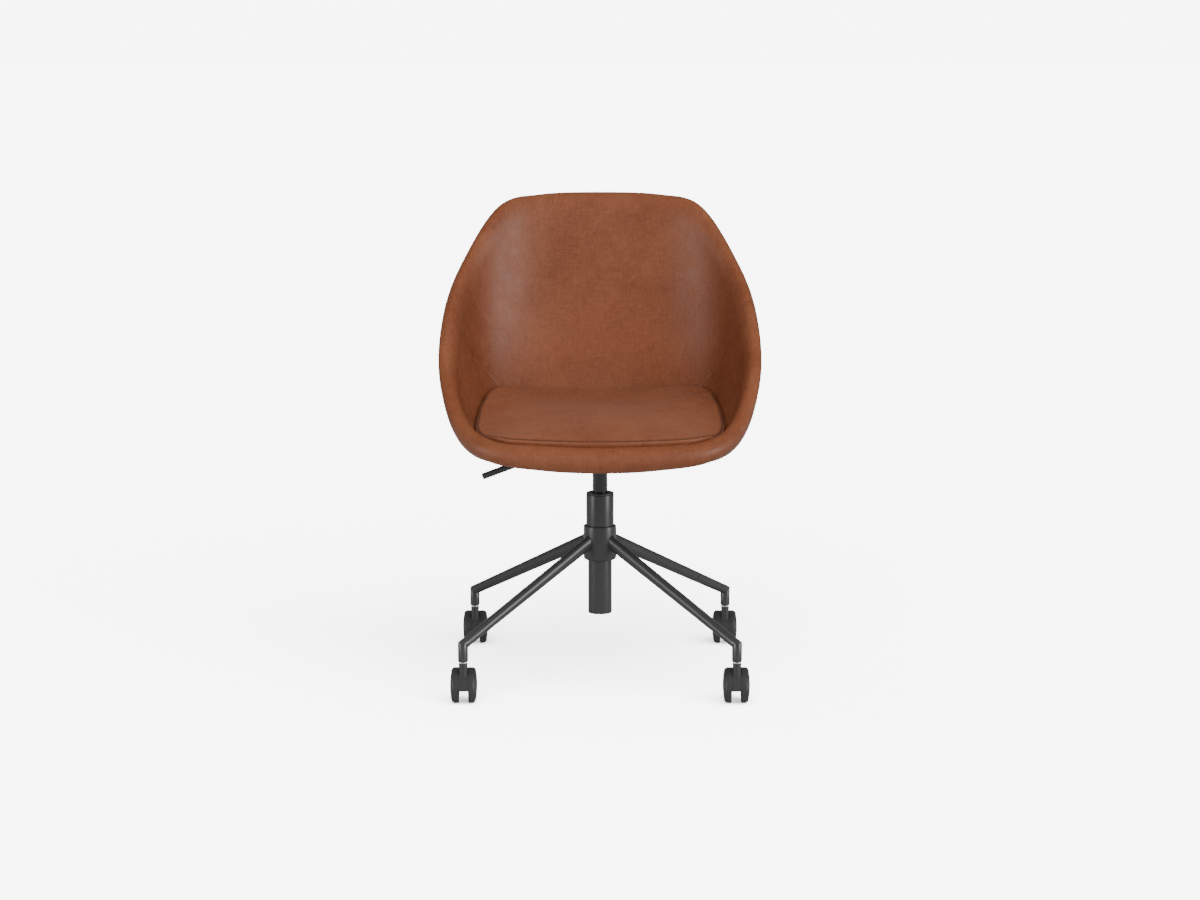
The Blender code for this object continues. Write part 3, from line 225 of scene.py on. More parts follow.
# Settings


def colour_setting(name, description, default):
    return FloatVectorProperty(
        name=name, description=description, subtype="COLOR", size=3, min=0, max=1, default=default)


def length_setting(name, description, default, least=0.0):
    return FloatProperty(name=name, description=description, unit="LENGTH", min=least, default=default)


def number_setting(name, description, default, least=0.0, **limits):
    return FloatProperty(name=name, description=description, min=least, default=default, **limits)


def count_setting(name, description, default):
    return IntProperty(name=name, description=description, min=8, default=default)


class LeatherSettings(bpy.types.PropertyGroup):
    """The hide's colours and grain."""

    tan: colour_setting("Tan", "The hide's lighter patches", (0.322, 0.107, 0.047))
    brown: colour_setting("Brown", "The hide's darker patches", (0.208, 0.057, 0.020))
    scar: colour_setting("Scar", "Pale scratches and healed scars", (0.400, 0.180, 0.105))
    # The dark of the seams, and also the colour of the painted shade in the creases round the cushion and
    # over its rear
    seam_dark_and_painted_shade: colour_setting("Seam shade", "The dark of seams and folds", (0.045, 0.012, 0.005))
    roughness: number_setting("Roughness", "How dull the wax finish is", 0.52, max=1)
    grain: length_setting("Grain height", "Height of the pores and pebbles", 0.0003)


class MetalSettings(bpy.types.PropertyGroup):
    """The colours of the metal and plastic."""

    coat: colour_setting("Powder coat", "Satin coat on the legs, hub and tubes", (0.057, 0.057, 0.058))
    nylon: colour_setting("Nylon", "The casters' moulded nylon", (0.035, 0.035, 0.035))
    cylinder: colour_setting("Cylinder", "The gas cylinder's gloss black", (0.014, 0.014, 0.015))
    zinc: colour_setting("Zinc", "Bright plated steel", (0.720, 0.720, 0.730))


class BucketSettings(bpy.types.PropertyGroup):
    """How finely the bucket is made, and its seams."""

    front_columns: count_setting("Front columns", "Columns from the front centre to the side seam", 90)
    back_columns: count_setting("Back columns", "Columns from the side seam to the back centre", 70)
    wall_rows: count_setting("Wall rows", "Rows from the bucket's floor to the rim", 90)
    seam_depth: length_setting("Seam depth", "How deep a seam draws the leather in", 0.0016)
    seam_width: length_setting("Seam width", "Half the width of a seam's valley", 0.0013, 0.0001)
    wave: length_setting("Wave", "Height of the leather's slow unevenness over its foam", 0.0007)


class CushionSettings(bpy.types.PropertyGroup):
    """The loose seat cushion."""

    cells: count_setting("Cells", "Cells along one side of the cushion's top", 64)
    pressure: number_setting("Pressure", "How hard the filling pushes while the cover settles", 4.0)
    most_swell: length_setting("Most swell", "The furthest that the cover may move", 0.0080)


class StudioSettings(bpy.types.PropertyGroup):
    """The floor, the lights and the camera."""

    floor: number_setting("Floor", "How much light the seamless floor gives back", 0.80, max=1)
    backdrop: number_setting(
        "Backdrop", "How much whiter the floor and horizon look than they light the chair", 12.5, 1)
    horizon: number_setting("Horizon", "Brightness behind the floor, before the backdrop's gain", 0.6)
    ambient: number_setting("Ambient", "Strength of the light from all sides", 0.30)
    right: number_setting("Right", "Strength of the soft light at the camera's right", 2.9)
    left: number_setting("Left", "Strength of the soft light at the camera's left", 1.9)
    front: number_setting("Front", "Strength of the broad light above the camera", 2.3)
    camera_distance: length_setting("Camera distance", "From the column to the camera", 5.249, 0.1)
    camera_height: length_setting("Camera height", "Above the floor", 1.2414)
    camera_pitch: FloatProperty(
        name="Camera pitch", description="How far the camera looks down", subtype="ANGLE", default=0.15368)
    lens: number_setting("Lens", "Focal length in millimetres", 85.0, 1)


# Materials


def fill_in(tree, sockets, values):
    """Gives inputs other nodes' outputs, or numbers, vectors and colours."""
    for socket, value in zip(sockets, values):
        if isinstance(value, bpy.types.NodeSocket):
            tree.links.new(value, socket)
        elif socket.type == "RGBA":
            socket.default_value = (*value, 1.0)
        else:
            socket.default_value = value


def fill_named(tree, node, **inputs):
    """Fills in a node's inputs by their names."""
    fill_in(tree, [node.inputs[key.replace("_", " ")] for key in inputs], inputs.values())
    return node


def add_node(tree, kind, settings=None, **inputs):
    """A node with its settings and what goes into its named inputs."""
    node = tree.nodes.new(kind)
    for key, value in (settings or {}).items():
        setattr(node, key, value)
    return fill_named(tree, node, **inputs)


def reckoned(tree, kind, operation, *values):
    """The result of one step of arithmetic on numbers, vectors or sockets."""
    node = add_node(tree, kind, {"operation": operation})
    fill_in(tree, node.inputs, values)
    return node.outputs[0]


def maths(tree, operation, *values):
    return reckoned(tree, "ShaderNodeMath", operation, *values)


def weighted(tree, fields):
    """The sum of fields, each times its weight."""
    total = 0.0
    for field, weight in fields:
        total = maths(tree, "MULTIPLY_ADD", field, weight, total)
    return total


def blend_colours(tree, factor, first, second):
    node = add_node(tree, "ShaderNodeMix", {"data_type": "RGBA"})
    fill_in(tree, (node.inputs[0], node.inputs[6], node.inputs[7]), (factor, first, second))
    return node.outputs[2]


def window(tree, value, low, high, out_low=0.0, out_high=1.0):
    """Brings a socket's values from one span to another, and clamps them."""
    node = add_node(tree, "ShaderNodeMapRange")
    fill_in(tree, node.inputs, (value, low, high, out_low, out_high))
    return node.outputs[0]


def noise_field(tree, where, scale, detail=4.0, roughness=0.55, distortion=0.0, output=0):
    return add_node(
        tree, "ShaderNodeTexNoise", Vector=where, Scale=scale, Detail=detail, Roughness=roughness,
        Distortion=distortion).outputs[output]


def placed(tree, where, location=(0, 0, 0), scale=(1, 1, 1)):
    return add_node(tree, "ShaderNodeMapping", Vector=where, Location=location, Scale=scale).outputs[0]


def bumped(tree, height, strength, distance, **before):
    """The normal of a relief, on top of another relief's normal where that is given."""
    return add_node(
        tree, "ShaderNodeBump", Height=height, Strength=strength, Distance=distance, **before).outputs[0]


def blank_material(name):
    """A material with a shader, its output and the object's own coordinates."""
    material = bpy.data.materials.new(name)
    material.use_nodes = True
    tree = material.node_tree
    tree.nodes.clear()
    shader = add_node(tree, "ShaderNodeBsdfPrincipled")
    add_node(tree, "ShaderNodeOutputMaterial", Surface=shader.outputs[0])
    return material, tree, shader, add_node(tree, "ShaderNodeTexCoord").outputs["Object"]


def saddle_leather(name, shift, nap=0.0, painted_light_lift=0.0):
    """Waxed saddle hide: clouded brown, fine pebbles, growth marks and pale scratches, darkened at the seams
    and by painted shade where the seam_shade attribute says, and lifted toward tan as painted light when
    asked.
    """
    looks = bpy.context.scene.tub_leather
    material, tree, shader, where = blank_material(name)
    where = placed(tree, where, shift)
    mottle = noise_field(tree, where, 48.0, 6.0, 0.70, 0.3)
    fields = [(noise_field(tree, where, 8.0, 4.0, 0.55, 0.5), 0.34), (mottle, 0.22)]
    for stretch in ((0.2, 1.0, 1.0), (1.0, 0.2, 0.2)):
        fields.append((noise_field(tree, placed(tree, where, scale=stretch), 280.0, 3.0, 0.6), 0.22))
    # A lift above 0 is painted light: it moves the whole hide toward tan, for the cushion's top that catches
    # more light
    tone = window(tree, weighted(tree, fields), 0.37 - painted_light_lift, 0.63 - painted_light_lift)
    colour = blend_colours(tree, tone, looks.brown, looks.tan)

    drift = noise_field(tree, where, 9.0, 3.0, output="Color")
    bent = reckoned(tree, "ShaderNodeVectorMath", "MULTIPLY_ADD", drift, (0.02, 0.02, 0.02), where)
    vein = 0.0
    for offset, squeeze, scale, thin in (
            ((0.3, 0.4, 0.2), 0.30, 5.0, 0.0034), ((1.1, 0.2, 1.9), 0.45, 11.0, 0.0056),
            ((4.2, 2.6, 0.7), 0.80, 19.0, 0.0080)):
        stretched = placed(tree, bent, offset, (1.0, 1.0, squeeze))
        level = maths(tree, "SUBTRACT", noise_field(tree, stretched, scale, 1.0, 0.4), 0.5)
        line = window(tree, maths(tree, "ABSOLUTE", level), 0.0, thin, 1.0, 0.0)
        patch = noise_field(tree, placed(tree, where, offset), 1.6 * scale, 2.0)
        line = maths(tree, "MULTIPLY", line, window(tree, patch, 0.54, 0.66))
        vein = maths(tree, "MAXIMUM", vein, line)
    colour = blend_colours(tree, maths(tree, "MULTIPLY", vein, 0.36), colour, looks.scar)
    # The seam_shade attribute mixes in the dark of the seams, and painted shade in the crease round the
    # cushion, under its boxing and toward its rear
    crease = add_node(tree, "ShaderNodeAttribute", {"attribute_name": "seam_shade"}).outputs["Fac"]
    colour = blend_colours(tree, maths(tree, "MULTIPLY", crease, 0.85), colour, looks.seam_dark_and_painted_shade)

    pebbles = add_node(
        tree, "ShaderNodeTexVoronoi", {"feature": "SMOOTH_F1"}, Scale=620.0,
        Vector=placed(tree, bent, scale=(1.0, 1.0, 0.8))).outputs["Distance"]
    folds = noise_field(tree, where, 120.0, 5.0, 0.6, 1.2)
    height = weighted(tree, ((pebbles, 1.0), (folds, 0.9), (vein, -0.5)))
    pores = bumped(tree, height, 0.35, looks.grain)
    dull = maths(tree, "ADD", window(tree, mottle, 0.3, 0.7, -0.07, 0.07), looks.roughness)
    fill_named(
        tree, shader, Base_Color=colour, Roughness=dull, Specular_IOR_Level=0.30, Sheen_Weight=nap,
        Sheen_Roughness=0.45, Normal=bumped(tree, mottle, 0.20, 4 * looks.grain, Normal=pores))
    return material


def plain_finish(name, colours, cloud, gloss, relief=None, stretch=1.0, bump=None, **numbers):
    """A colour clouded by noise, a gloss that varies a little, and a fine relief.

    A stretched relief is brushed or polished in, so the gloss follows it and not the cloud.
    """
    material, tree, shader, where = blank_material(name)
    clouds = noise_field(tree, where, *cloud) if cloud else None
    fine = clouds
    if relief:
        fine = noise_field(tree, placed(tree, where, scale=(1.0, 1.0, stretch)), *relief)
    glossy = clouds if stretch == 1.0 else fine
    colour = blend_colours(tree, clouds, *colours) if cloud else colours[0]
    if bump:
        numbers["Normal"] = bumped(tree, fine, *bump)
    fill_named(
        tree, shader, Base_Color=colour, Roughness=window(tree, glossy, 0.3, 0.7, *gloss), **numbers)
    return material


def faded(colour, share):
    return tuple(share * part for part in colour)


def powder_coat(name):
    """Satin powder coat with its fine orange peel."""
    coat = tuple(bpy.context.scene.tub_metal.coat)
    return plain_finish(
        name, (faded(coat, 0.86), coat), (14.0, 3.0), (0.27, 0.35), (1100.0, 2.0, 0.5),
        bump=(0.12, 0.0002), Specular_IOR_Level=0.45)


def moulded_nylon(name):
    """Matte glass-filled nylon with a spark-eroded texture."""
    nylon = tuple(bpy.context.scene.tub_metal.nylon)
    return plain_finish(
        name, (nylon, faded(nylon, 1.25)), (40.0, 4.0), (0.44, 0.58), (1500.0, 3.0, 0.6),
        bump=(0.25, 0.0002))


def gloss_cylinder(name):
    """Deep gloss black with faint lines round it from polishing."""
    black = tuple(bpy.context.scene.tub_metal.cylinder)
    return plain_finish(
        name, (black,), None, (0.12, 0.20), (24.0, 3.0), 60.0, (0.03, 0.0001), Coat_Weight=0.4,
        Coat_Roughness=0.08)


def zinc_steel(name):
    """Bright zinc plate, finely brushed round."""
    zinc = tuple(bpy.context.scene.tub_metal.zinc)
    return plain_finish(
        name, (faded(zinc, 0.80), zinc), (160.0, 3.0), (0.22, 0.36), (180.0, 3.0), 20.0,
        (0.08, 0.0001), Metallic=1.0)


def black_rubber(name):
    """Plain black rubber."""
    return plain_finish(name, ((0.012, 0.012, 0.012), (0.020, 0.020, 0.020)), (300.0, 3.0), (0.62, 0.78))


def pressed_shell(name):
    """The moulded core that shows round the seat plate from below."""
    return plain_finish(
        name, ((0.028, 0.026, 0.025), (0.050, 0.047, 0.044)), (420.0, 4.0), (0.55, 0.70),
        bump=(0.30, 0.0003))


MAKERS = {
    "powder_coat": powder_coat,
    "nylon_black": moulded_nylon,
    "cylinder_black": gloss_cylinder,
    "bright_steel": zinc_steel,
    "rubber_black": black_rubber,
    "moulded_shell": pressed_shell,
}


def finish_for(slot):
    """The material of a record slot, made once."""
    name = "dressed_" + slot
    if name in bpy.data.materials:
        return bpy.data.materials[name]
    return MAKERS[slot](name)


# Mesh helpers


def add_piece(name, bm, body, slot, node, material=None, sharp=40.0):
    """Turns a bmesh into a piece that rides on a body and stands for a CAD node."""
    mesh = bpy.data.meshes.new(name)
    bm.to_mesh(mesh)
    bm.free()
    mesh.shade_smooth()
    mesh.set_sharp_from_angle(angle=math.radians(sharp))
    mesh.materials.append(material or finish_for(slot))
    piece = bpy.data.objects.new(name, mesh)
    bpy.context.scene.collection.objects.link(piece)
    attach(piece, body)
    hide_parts(node)
    return piece


def filleted(corners, steps=5):
    """Points of a profile. A corner is (radius, height), or (radius, height, fillet) to round it."""
    points = []
    for number, (radius, height, *fillet) in enumerate(corners):
        corner = Vector((radius, height))
        if not fillet or number in (0, len(corners) - 1):
            points.append(corner)
            continue
        before = (Vector(corners[number - 1][:2]) - corner).normalized()
        after = (Vector(corners[number + 1][:2]) - corner).normalized()
        half = before.angle(after) / 2
        reach = fillet[0] / math.tan(half)
        start, end = corner + before * reach, corner + after * reach
        centre = corner + (before + after).normalized() * (fillet[0] / math.sin(half))
        for step in range(steps + 1):
            point = start.lerp(end, step / steps)
            points.append(centre + (point - centre).normalized() * fillet[0])
    return points


def turned(corners, segments=96, closed=False):
    """A body turned round the Z axis from its profile."""
    bm = bmesh.new()
    verts = [bm.verts.new((point.x, 0, point.y)) for point in filleted(corners)]
    edges = [bm.edges.new(pair) for pair in zip(verts, verts[1:])]
    if closed:
        edges.append(bm.edges.new((verts[-1], verts[0])))
    bmesh.ops.spin(
        bm, geom=verts + edges, cent=(0, 0, 0), axis=(0, 0, 1), dvec=(0, 0, 0), angle=math.tau,
        steps=segments, use_merge=True, use_duplicate=False)
    bmesh.ops.remove_doubles(bm, verts=bm.verts, dist=0.000001)
    bmesh.ops.recalc_face_normals(bm, faces=bm.faces)
    return bm


def swept(stations, segments=48):
    """A tube drawn through stations, each a matrix that places a unit circle, with closed ends."""
    bm = bmesh.new()
    bmesh.ops.create_circle(bm, cap_ends=False, segments=segments, radius=1.0, matrix=stations[0])
    edges = first = list(bm.edges)
    before = stations[0]
    for station in stations[1:]:
        drawn = bmesh.ops.extrude_edge_only(bm, edges=edges)["geom"]
        verts = {item for item in drawn if isinstance(item, bmesh.types.BMVert)}
        edges = [
            item for item in drawn
            if isinstance(item, bmesh.types.BMEdge) and all(vert in verts for vert in item.verts)]
        bmesh.ops.transform(bm, matrix=station @ before.inverted(), verts=list(verts))
        before = station
    bmesh.ops.contextual_create(bm, geom=first)
    bmesh.ops.contextual_create(bm, geom=edges)
    bmesh.ops.recalc_face_normals(bm, faces=bm.faces)
    return bm


def cut_away(bm, point, normal, soften):
    """Cuts off what lies on the normal's side of a plane, closes the cut and softens its edge."""
    geom = list(bm.verts) + list(bm.edges) + list(bm.faces)
    cut = bmesh.ops.bisect_plane(
        bm, geom=geom, dist=0.000001, plane_co=point, plane_no=normal, clear_outer=True)["geom_cut"]
    edges = [item for item in cut if isinstance(item, bmesh.types.BMEdge)]
    bmesh.ops.contextual_create(bm, geom=edges)
    bmesh.ops.bevel(
        bm, geom=edges, offset=soften, offset_type="OFFSET", segments=2, profile=0.5,
        affect="EDGES", clamp_overlap=True, material=-1)
    bmesh.ops.recalc_face_normals(bm, faces=bm.faces)


def moved(bm, matrix):
    bmesh.ops.transform(bm, matrix=matrix, verts=bm.verts)
    return bm


def joined(first, second):
    """The second bmesh's closed body added to the first."""
    mesh = bpy.data.meshes.new("joined")
    second.to_mesh(mesh)
    second.free()
    first.from_mesh(mesh)
    bpy.data.meshes.remove(mesh)
    return first


# Bucket


def rim_row(number):
    """A row of the rim's table, mirrored past either end."""
    if 0 <= number <= LAST:
        return RIM[number]
    row = RIM[-number] if number < 0 else RIM[2 * LAST - number]
    return (-row[0],) + row[1:]


def rim_values(position):
    """The table's values at a place between its rows, on a smooth curve through them."""
    index = min(int(position), LAST - 1)
    part = position - index
    values = []
    for a, b, c, d in zip(*(rim_row(index + offset) for offset in (-1, 0, 1, 2))):
        bend = (2 * a - 5 * b + 4 * c - d) * part ** 2 + (3 * b - a - 3 * c + d) * part ** 3
        values.append(0.5 * (2 * b + (c - a) * part + bend))
    return values


def ease(share):
    share = min(max(share, 0.0), 1.0)
    return share * share * (3 - 2 * share)


def bell(distance, width):
    """1 at no distance, and soon 0 beyond the width."""
    return math.exp(-(distance / width) ** 2)


class Wall:
    """The bucket's section through the column's axis and one place of the rim."""

    def __init__(self, position):
        across, along, up, lean, floor_pull, rim_pull, edge, cushion, boxing = rim_values(position)
        x = across * HALF_WIDTH
        y = along * (FRONT_REACH + BACK_REACH) - FRONT_REACH
        reach = math.hypot(x, y)
        height = BUCKET_FLOOR + LIP_RISE + up * BACK_RISE
        lean = math.radians(lean)
        floor_pull *= HALF_WIDTH
        rim_pull *= HALF_WIDTH
        self.heading = Vector((x / reach, y / reach))
        self.rim_pull = rim_pull
        self.edge = edge * LIP_RADIUS
        self.soft_edge = self.edge + RIM_SOFTNESS * ease((position - SOFT_FROM) / SOFT_RUN)
        self.cushion_reach = cushion * reach
        self.boxing = boxing * CUSHION_THICKNESS
        self.control = (
            Vector((FLAT_RADIUS, BUCKET_FLOOR)),
            Vector((FLAT_RADIUS + floor_pull, BUCKET_FLOOR)),
            Vector((reach - rim_pull * math.cos(lean), height - rim_pull * math.sin(lean))),
            Vector((reach, height)),
        )

    def middle(self, share):
        a, b, c, d = self.control
        rest = 1 - share
        return a * rest ** 3 + b * 3 * share * rest ** 2 + c * 3 * share ** 2 * rest + d * share ** 3

    def along(self, share):
        a, b, c, d = self.control
        rest = 1 - share
        return ((b - a) * rest ** 2 + (c - b) * 2 * share * rest + (d - c) * share ** 2).normalized()

    def off(self, share, distance):
        """A point of the section at a distance off the wall's middle, toward the sitter."""
        along = self.along(share)
        return self.middle(share) + Vector((-along.y, along.x)) * distance

    def in_space(self, point):
        return Vector((point.x * self.heading.x, point.x * self.heading.y, point.y))

    def spot(self, share, distance):
        return self.in_space(self.off(share, distance))

    def seat_half(self, share, beyond=0.0):
        """The padding's thickness on the seat side, which rounds off slowly toward the rim's tip."""
        thickness = SEAT_HALF + (self.edge - SEAT_HALF) * ease((share - 0.7) / 0.3)
        left = (1 - share) * 3 * self.rim_pull + self.edge - beyond
        way = min(max(1 - left / self.soft_edge, 0.0), 1.0)
        return thickness * math.sqrt(1 - way * way)

    def outer_half(self, share):
        return UNDER_HALF + (self.edge - UNDER_HALF) * ease(share)

    def share_before_rim(self, distance):
        return 1 - distance / (3 * self.rim_pull)

    def roll(self, angle, radius):
        """A point round the rim, from the seat side at 0 to the outer side at pi."""
        along = self.along(1)
        inward = Vector((-along.y, along.x))
        thickness = radius * math.cos(angle)
        if thickness > 0:
            thickness = self.seat_half(1, self.edge * math.sin(angle)) * radius / self.edge
        return self.in_space(self.middle(1) + inward * thickness + along * radius * math.sin(angle))

    def tuck(self, share, part, depth):
        """A point of a seam's turned-in edge, from the leather's face at 0 to the core at 1."""
        outer = self.outer_half(share) - depth
        return self.spot(share, -(outer + (CORE_HALF + LAYER_GAP - outer) * part))

    def share_at(self, reach, high=1.0, steps=24):
        """Where the padding's surface stands at a distance from the column's axis."""
        low = 0.0
        for _ in range(steps):
            half = (low + high) / 2
            if self.off(half, self.seat_half(half)).x < reach:
                low = half
            else:
                high = half
        return low

    def cushion_share(self):
        return self.share_at(self.cushion_reach)

    def cushion_foot(self):
        share = self.cushion_share()
        return self.off(share, self.seat_half(share) + CUSHION_GAP)

    def cushion_seam(self):
        return self.cushion_foot() + Vector((-CUSHION_DRAW_IN, self.boxing))


def seam_position(share):
    """Where the side seam runs: from the rim at the elbow down to the cushion's rear corner."""
    return SEAM_AT_RIM + (SEAM_AT_FLOOR - SEAM_AT_RIM) * (1 - ease((share - SEAM_START) / SEAM_RUN))


def column_offsets(count):
    """Places from a seam at 0 to a centre line at 1, close together at the seam."""
    near = [0.0, 0.0011, 0.0022, 0.0034, 0.0048, 0.0066, 0.0090, 0.0130]
    start = near[-1]
    return near + [start + (1 - start) * (step / count) ** 1.15 for step in range(1, count + 1)]


def half_columns(settings):
    """Signed places of the columns of one half: -1 front centre, 0 the seam, 1 back centre."""
    front = [-place for place in reversed(column_offsets(settings.front_columns))]
    return front + column_offsets(settings.back_columns)[1:]


def column_position(column, share):
    """A column's place along the rim; the columns bend with the seam between the panels."""
    seam = seam_position(share)
    if column < 0:
        return seam * (1 + column)
    return seam + (LAST - seam) * column


def seam_distance(column, share):
    """Distance from the seam along the wall, in metres."""
    seam = seam_position(share)
    step = 0.02
    ahead, behind = (wall.in_space(wall.middle(share)) for wall in (Wall(seam - step), Wall(seam + step)))
    return abs(column_position(column, share) - seam) * ((ahead - behind).length / (2 * step))


def seam_valley(distance, settings):
    """How far a seam draws the leather in: a narrow valley with a soft shoulder each side."""
    width = settings.seam_width
    shoulder = bell(distance - 3.2 * width, 1.6 * width)
    return settings.seam_depth * (bell(distance, width) - 0.28 * shoulder)


def bend_grid(rows, columns, place):
    """A flat grid bent into a closed tub: each row of a half turn is placed, then mirrored."""
    place = cache(place)
    bm = bmesh.new()
    shade = bm.verts.layers.float.new("seam_shade")
    turns = len(columns) - 1
    bmesh.ops.create_grid(bm, x_segments=2 * turns, y_segments=len(rows) - 1, size=0.5)
    for vert in bm.verts:
        column = round((vert.co.x + 0.5) * 2 * turns)
        row = round((vert.co.y + 0.5) * (len(rows) - 1))
        side = 1 if column <= turns else -1
        point, dark = place(rows[row], columns[column if side == 1 else 2 * turns - column])
        vert.co = (side * point.x, point.y, point.z)
        vert[shade] = dark
    bmesh.ops.remove_doubles(bm, verts=bm.verts, dist=0.00001)
    bmesh.ops.recalc_face_normals(bm, faces=bm.faces)
    return bm


def leather_wave(point, settings, seed):
    spot = Vector((point.x + seed, point.y, point.z))
    return settings.wave * (0.75 * noise.noise(spot * 9.0) + 0.25 * noise.noise(spot * 31.0))


def lining_rows(settings):
    """(kind, value) for each row, from the floor's centre over the rim to the back seam and inside."""
    count = settings.wall_rows
    rows = [("floor", 0.0)]
    rows += [("seat", 0.02 + 0.20 * step / 5) for step in range(5)]
    rows += [("seat", 1 - 0.78 * (1 - step / count) ** 1.3) for step in range(count + 1)]
    rows += [("roll", math.pi * step / 22) for step in range(1, 22)]
    rows += [("behind", step / 12) for step in range(13)]
    rows += [("tuck", part) for part in (0.25, 0.6, 1.0)]
    rows += [("inside", share) for share in (1.0, 0.8, 0.5, 0.2, 0.0)]
    rows.append(("under", 0.0))
    return rows


def place_lining(row, column):
    """A point of the lining, and how dark its seam shade is: the dark of its seams, and painted shade in the
    crease round the cushion.
    """
    settings = bpy.context.scene.tub_bucket
    kind, value = row
    if kind == "floor":
        return Vector((0, 0, BUCKET_FLOOR + SEAT_HALF)), 0.0
    if kind == "under":
        return Vector((0, 0, BUCKET_FLOOR + CORE_HALF + FIT_GAP)), 0.0
    share = value if kind in ("seat", "inside") else 1.0
    wall = Wall(column_position(column, share))
    distance = seam_distance(column, share)
    valley = LINING_VALLEY * seam_valley(distance, settings)
    dark = LINING_SEAM_DARK * bell(distance, 0.7 * settings.seam_width)
    if kind == "seat":
        above = (wall.middle(share) - wall.middle(wall.cushion_share())).length
        # Painted shade in the crease where the cushion meets the wall, with a wider, fainter halo above it
        dark = max(dark, CREASE_PAINTED_SHADE * bell(above, CREASE_WIDTH), CREASE_HALO_PAINTED_SHADE * bell(above, CREASE_FADE))
        half = wall.seat_half(share)
        wave = leather_wave(wall.spot(share, half), settings, 0.0) * ease((share - 0.25) / 0.2)
        wave *= 1 - 0.6 * ease((share - 0.85) / 0.15)
        fade = ease(share / 0.3)
        return wall.spot(share, half - valley * fade + wave), dark * fade
    if kind == "roll":
        wave = RIM_WAVE * leather_wave(wall.roll(value, wall.edge), settings, 0.0)
        return wall.roll(value, wall.edge - valley + wave), dark
    if kind == "inside":
        end = wall.share_before_rim(LINING_END)
        return wall.spot(end * value, CORE_HALF + FIT_GAP + 0.0005 * min(1.0, 5 * value)), 0.0
    last = wall.share_before_rim(REAR_SEAM_DROP)
    if kind == "tuck":
        return wall.tuck(last, value, settings.seam_depth), SEAM_DARK
    share = 1 + (last - 1) * value
    lip = bell((1 - value) * REAR_SEAM_DROP, settings.seam_width)
    offset = wall.outer_half(share) - valley - settings.seam_depth * lip
    wave = RIM_WAVE * leather_wave(wall.spot(share, -offset), settings, 0.0) * ease(2 * (1 - value))
    return wall.spot(share, -offset - wave), max(dark, LIP_DARK * lip)


def back_rows(settings):
    """Rows of the outer leather, from its seam under the rim down to the opening below and inside."""
    steps = settings.wall_rows - 20
    rows = [("tuck", part) for part in (1.0, 0.5)]
    rows += [("wall", 1 - 0.06 * (step / 8) ** 1.6) for step in range(9)]
    rows += [("wall", 0.94 - 0.94 * step / steps) for step in range(1, steps + 1)]
    rows += [("flat", share) for share in (0.35, 0.7, 0.88, 1.0)]
    rows += [("edge", angle) for angle in (0.2, 0.4, 0.6, 0.8, 1.0)]
    rows += [("inside", share) for share in (0.0, 0.2, 0.4, 0.6, 0.8, 1.0)]
    return rows


def place_back(row, column):
    """A point of the outer leather and how dark its seam shade is."""
    settings = bpy.context.scene.tub_bucket
    kind, value = row
    along = value if kind in ("wall", "inside") else 1.0 if kind == "tuck" else 0.0
    wall = Wall(column_position(column, along))
    seam = wall.share_before_rim(REAR_SEAM_DROP) - LAYER_GAP * 0.4 / (3 * wall.rim_pull)
    share = seam * along
    distance = seam_distance(column, along)
    valley = BACK_VALLEY * seam_valley(distance, settings)
    dark = BACK_SEAM_DARK * bell(distance, 0.8 * settings.seam_width)
    if kind == "tuck":
        return wall.tuck(seam, value, settings.seam_depth), SEAM_DARK
    if kind == "wall":
        lip = bell((seam - share) * 3 * wall.rim_pull, settings.seam_width)
        offset = wall.outer_half(share) - valley - settings.seam_depth * lip
        wave = leather_wave(wall.spot(share, -offset), settings, 5.0) * ease(4 * share) * (1 - lip)
        return wall.spot(share, -offset - wave), max(dark, LIP_DARK * lip)
    if kind == "inside":
        return wall.spot(share, -CORE_HALF - (FIT_GAP + 0.0006 * min(1.0, 5 * share))), 0.0
    bottom = BUCKET_FLOOR - UNDER_HALF
    edge = OPENING_RADIUS + OPENING_ROLL
    if kind == "flat":
        return wall.in_space(Vector((FLAT_RADIUS + (edge - FLAT_RADIUS) * value, bottom + valley))), dark
    radius = (UNDER_HALF - CORE_HALF - FIT_GAP) / 2
    turn = math.pi * value
    reach = edge - OPENING_ROLL * math.sin(turn)
    return wall.in_space(Vector((reach, bottom + radius - radius * math.cos(turn)))), 0.0


class TUBCHAIR_OT_bucket(bpy.types.Operator):
    """Leather lining and outer back of the bucket, with the seams between their panels"""

    bl_idname = "tubchair.bucket"
    bl_label = "Leather bucket"

    def execute(self, context):
        settings = context.scene.tub_bucket
        columns = half_columns(settings)
        for name, rows, place, shift, node in (
                ("lining", lining_rows, place_lining, (0, 0, 0), "seat_cover"),
                ("back", back_rows, place_back, (2.3, 1.1, 0.7), "outer_cover")):
            add_piece(
                "leather_" + name, bend_grid(rows(settings), columns, place), "seat", "leather", node,
                saddle_leather(name + "_leather", shift), 60.0)
        return {"FINISHED"}


# Cushion


class CushionOutline:
    """The cushion's seam line, measured along its length."""

    def __init__(self):
        steps = 20 * LAST
        self.positions = [LAST * step / steps for step in range(steps + 1)]
        walls = [Wall(position) for position in self.positions]
        points = [wall.in_space(wall.cushion_seam()) for wall in walls]
        self.lengths = [0.0]
        for before, after in zip(points, points[1:]):
            self.lengths.append(self.lengths[-1] + (after - before).length)

    def position(self, part):
        """The rim place at a share of the half outline's length."""
        goal = part * self.lengths[-1]
        number = bisect_left(self.lengths, goal, 1)
        before = self.lengths[number - 1]
        inner = (goal - before) / (self.lengths[number] - before)
        start, end = self.positions[number - 1:number + 1]
        return start + (end - start) * inner


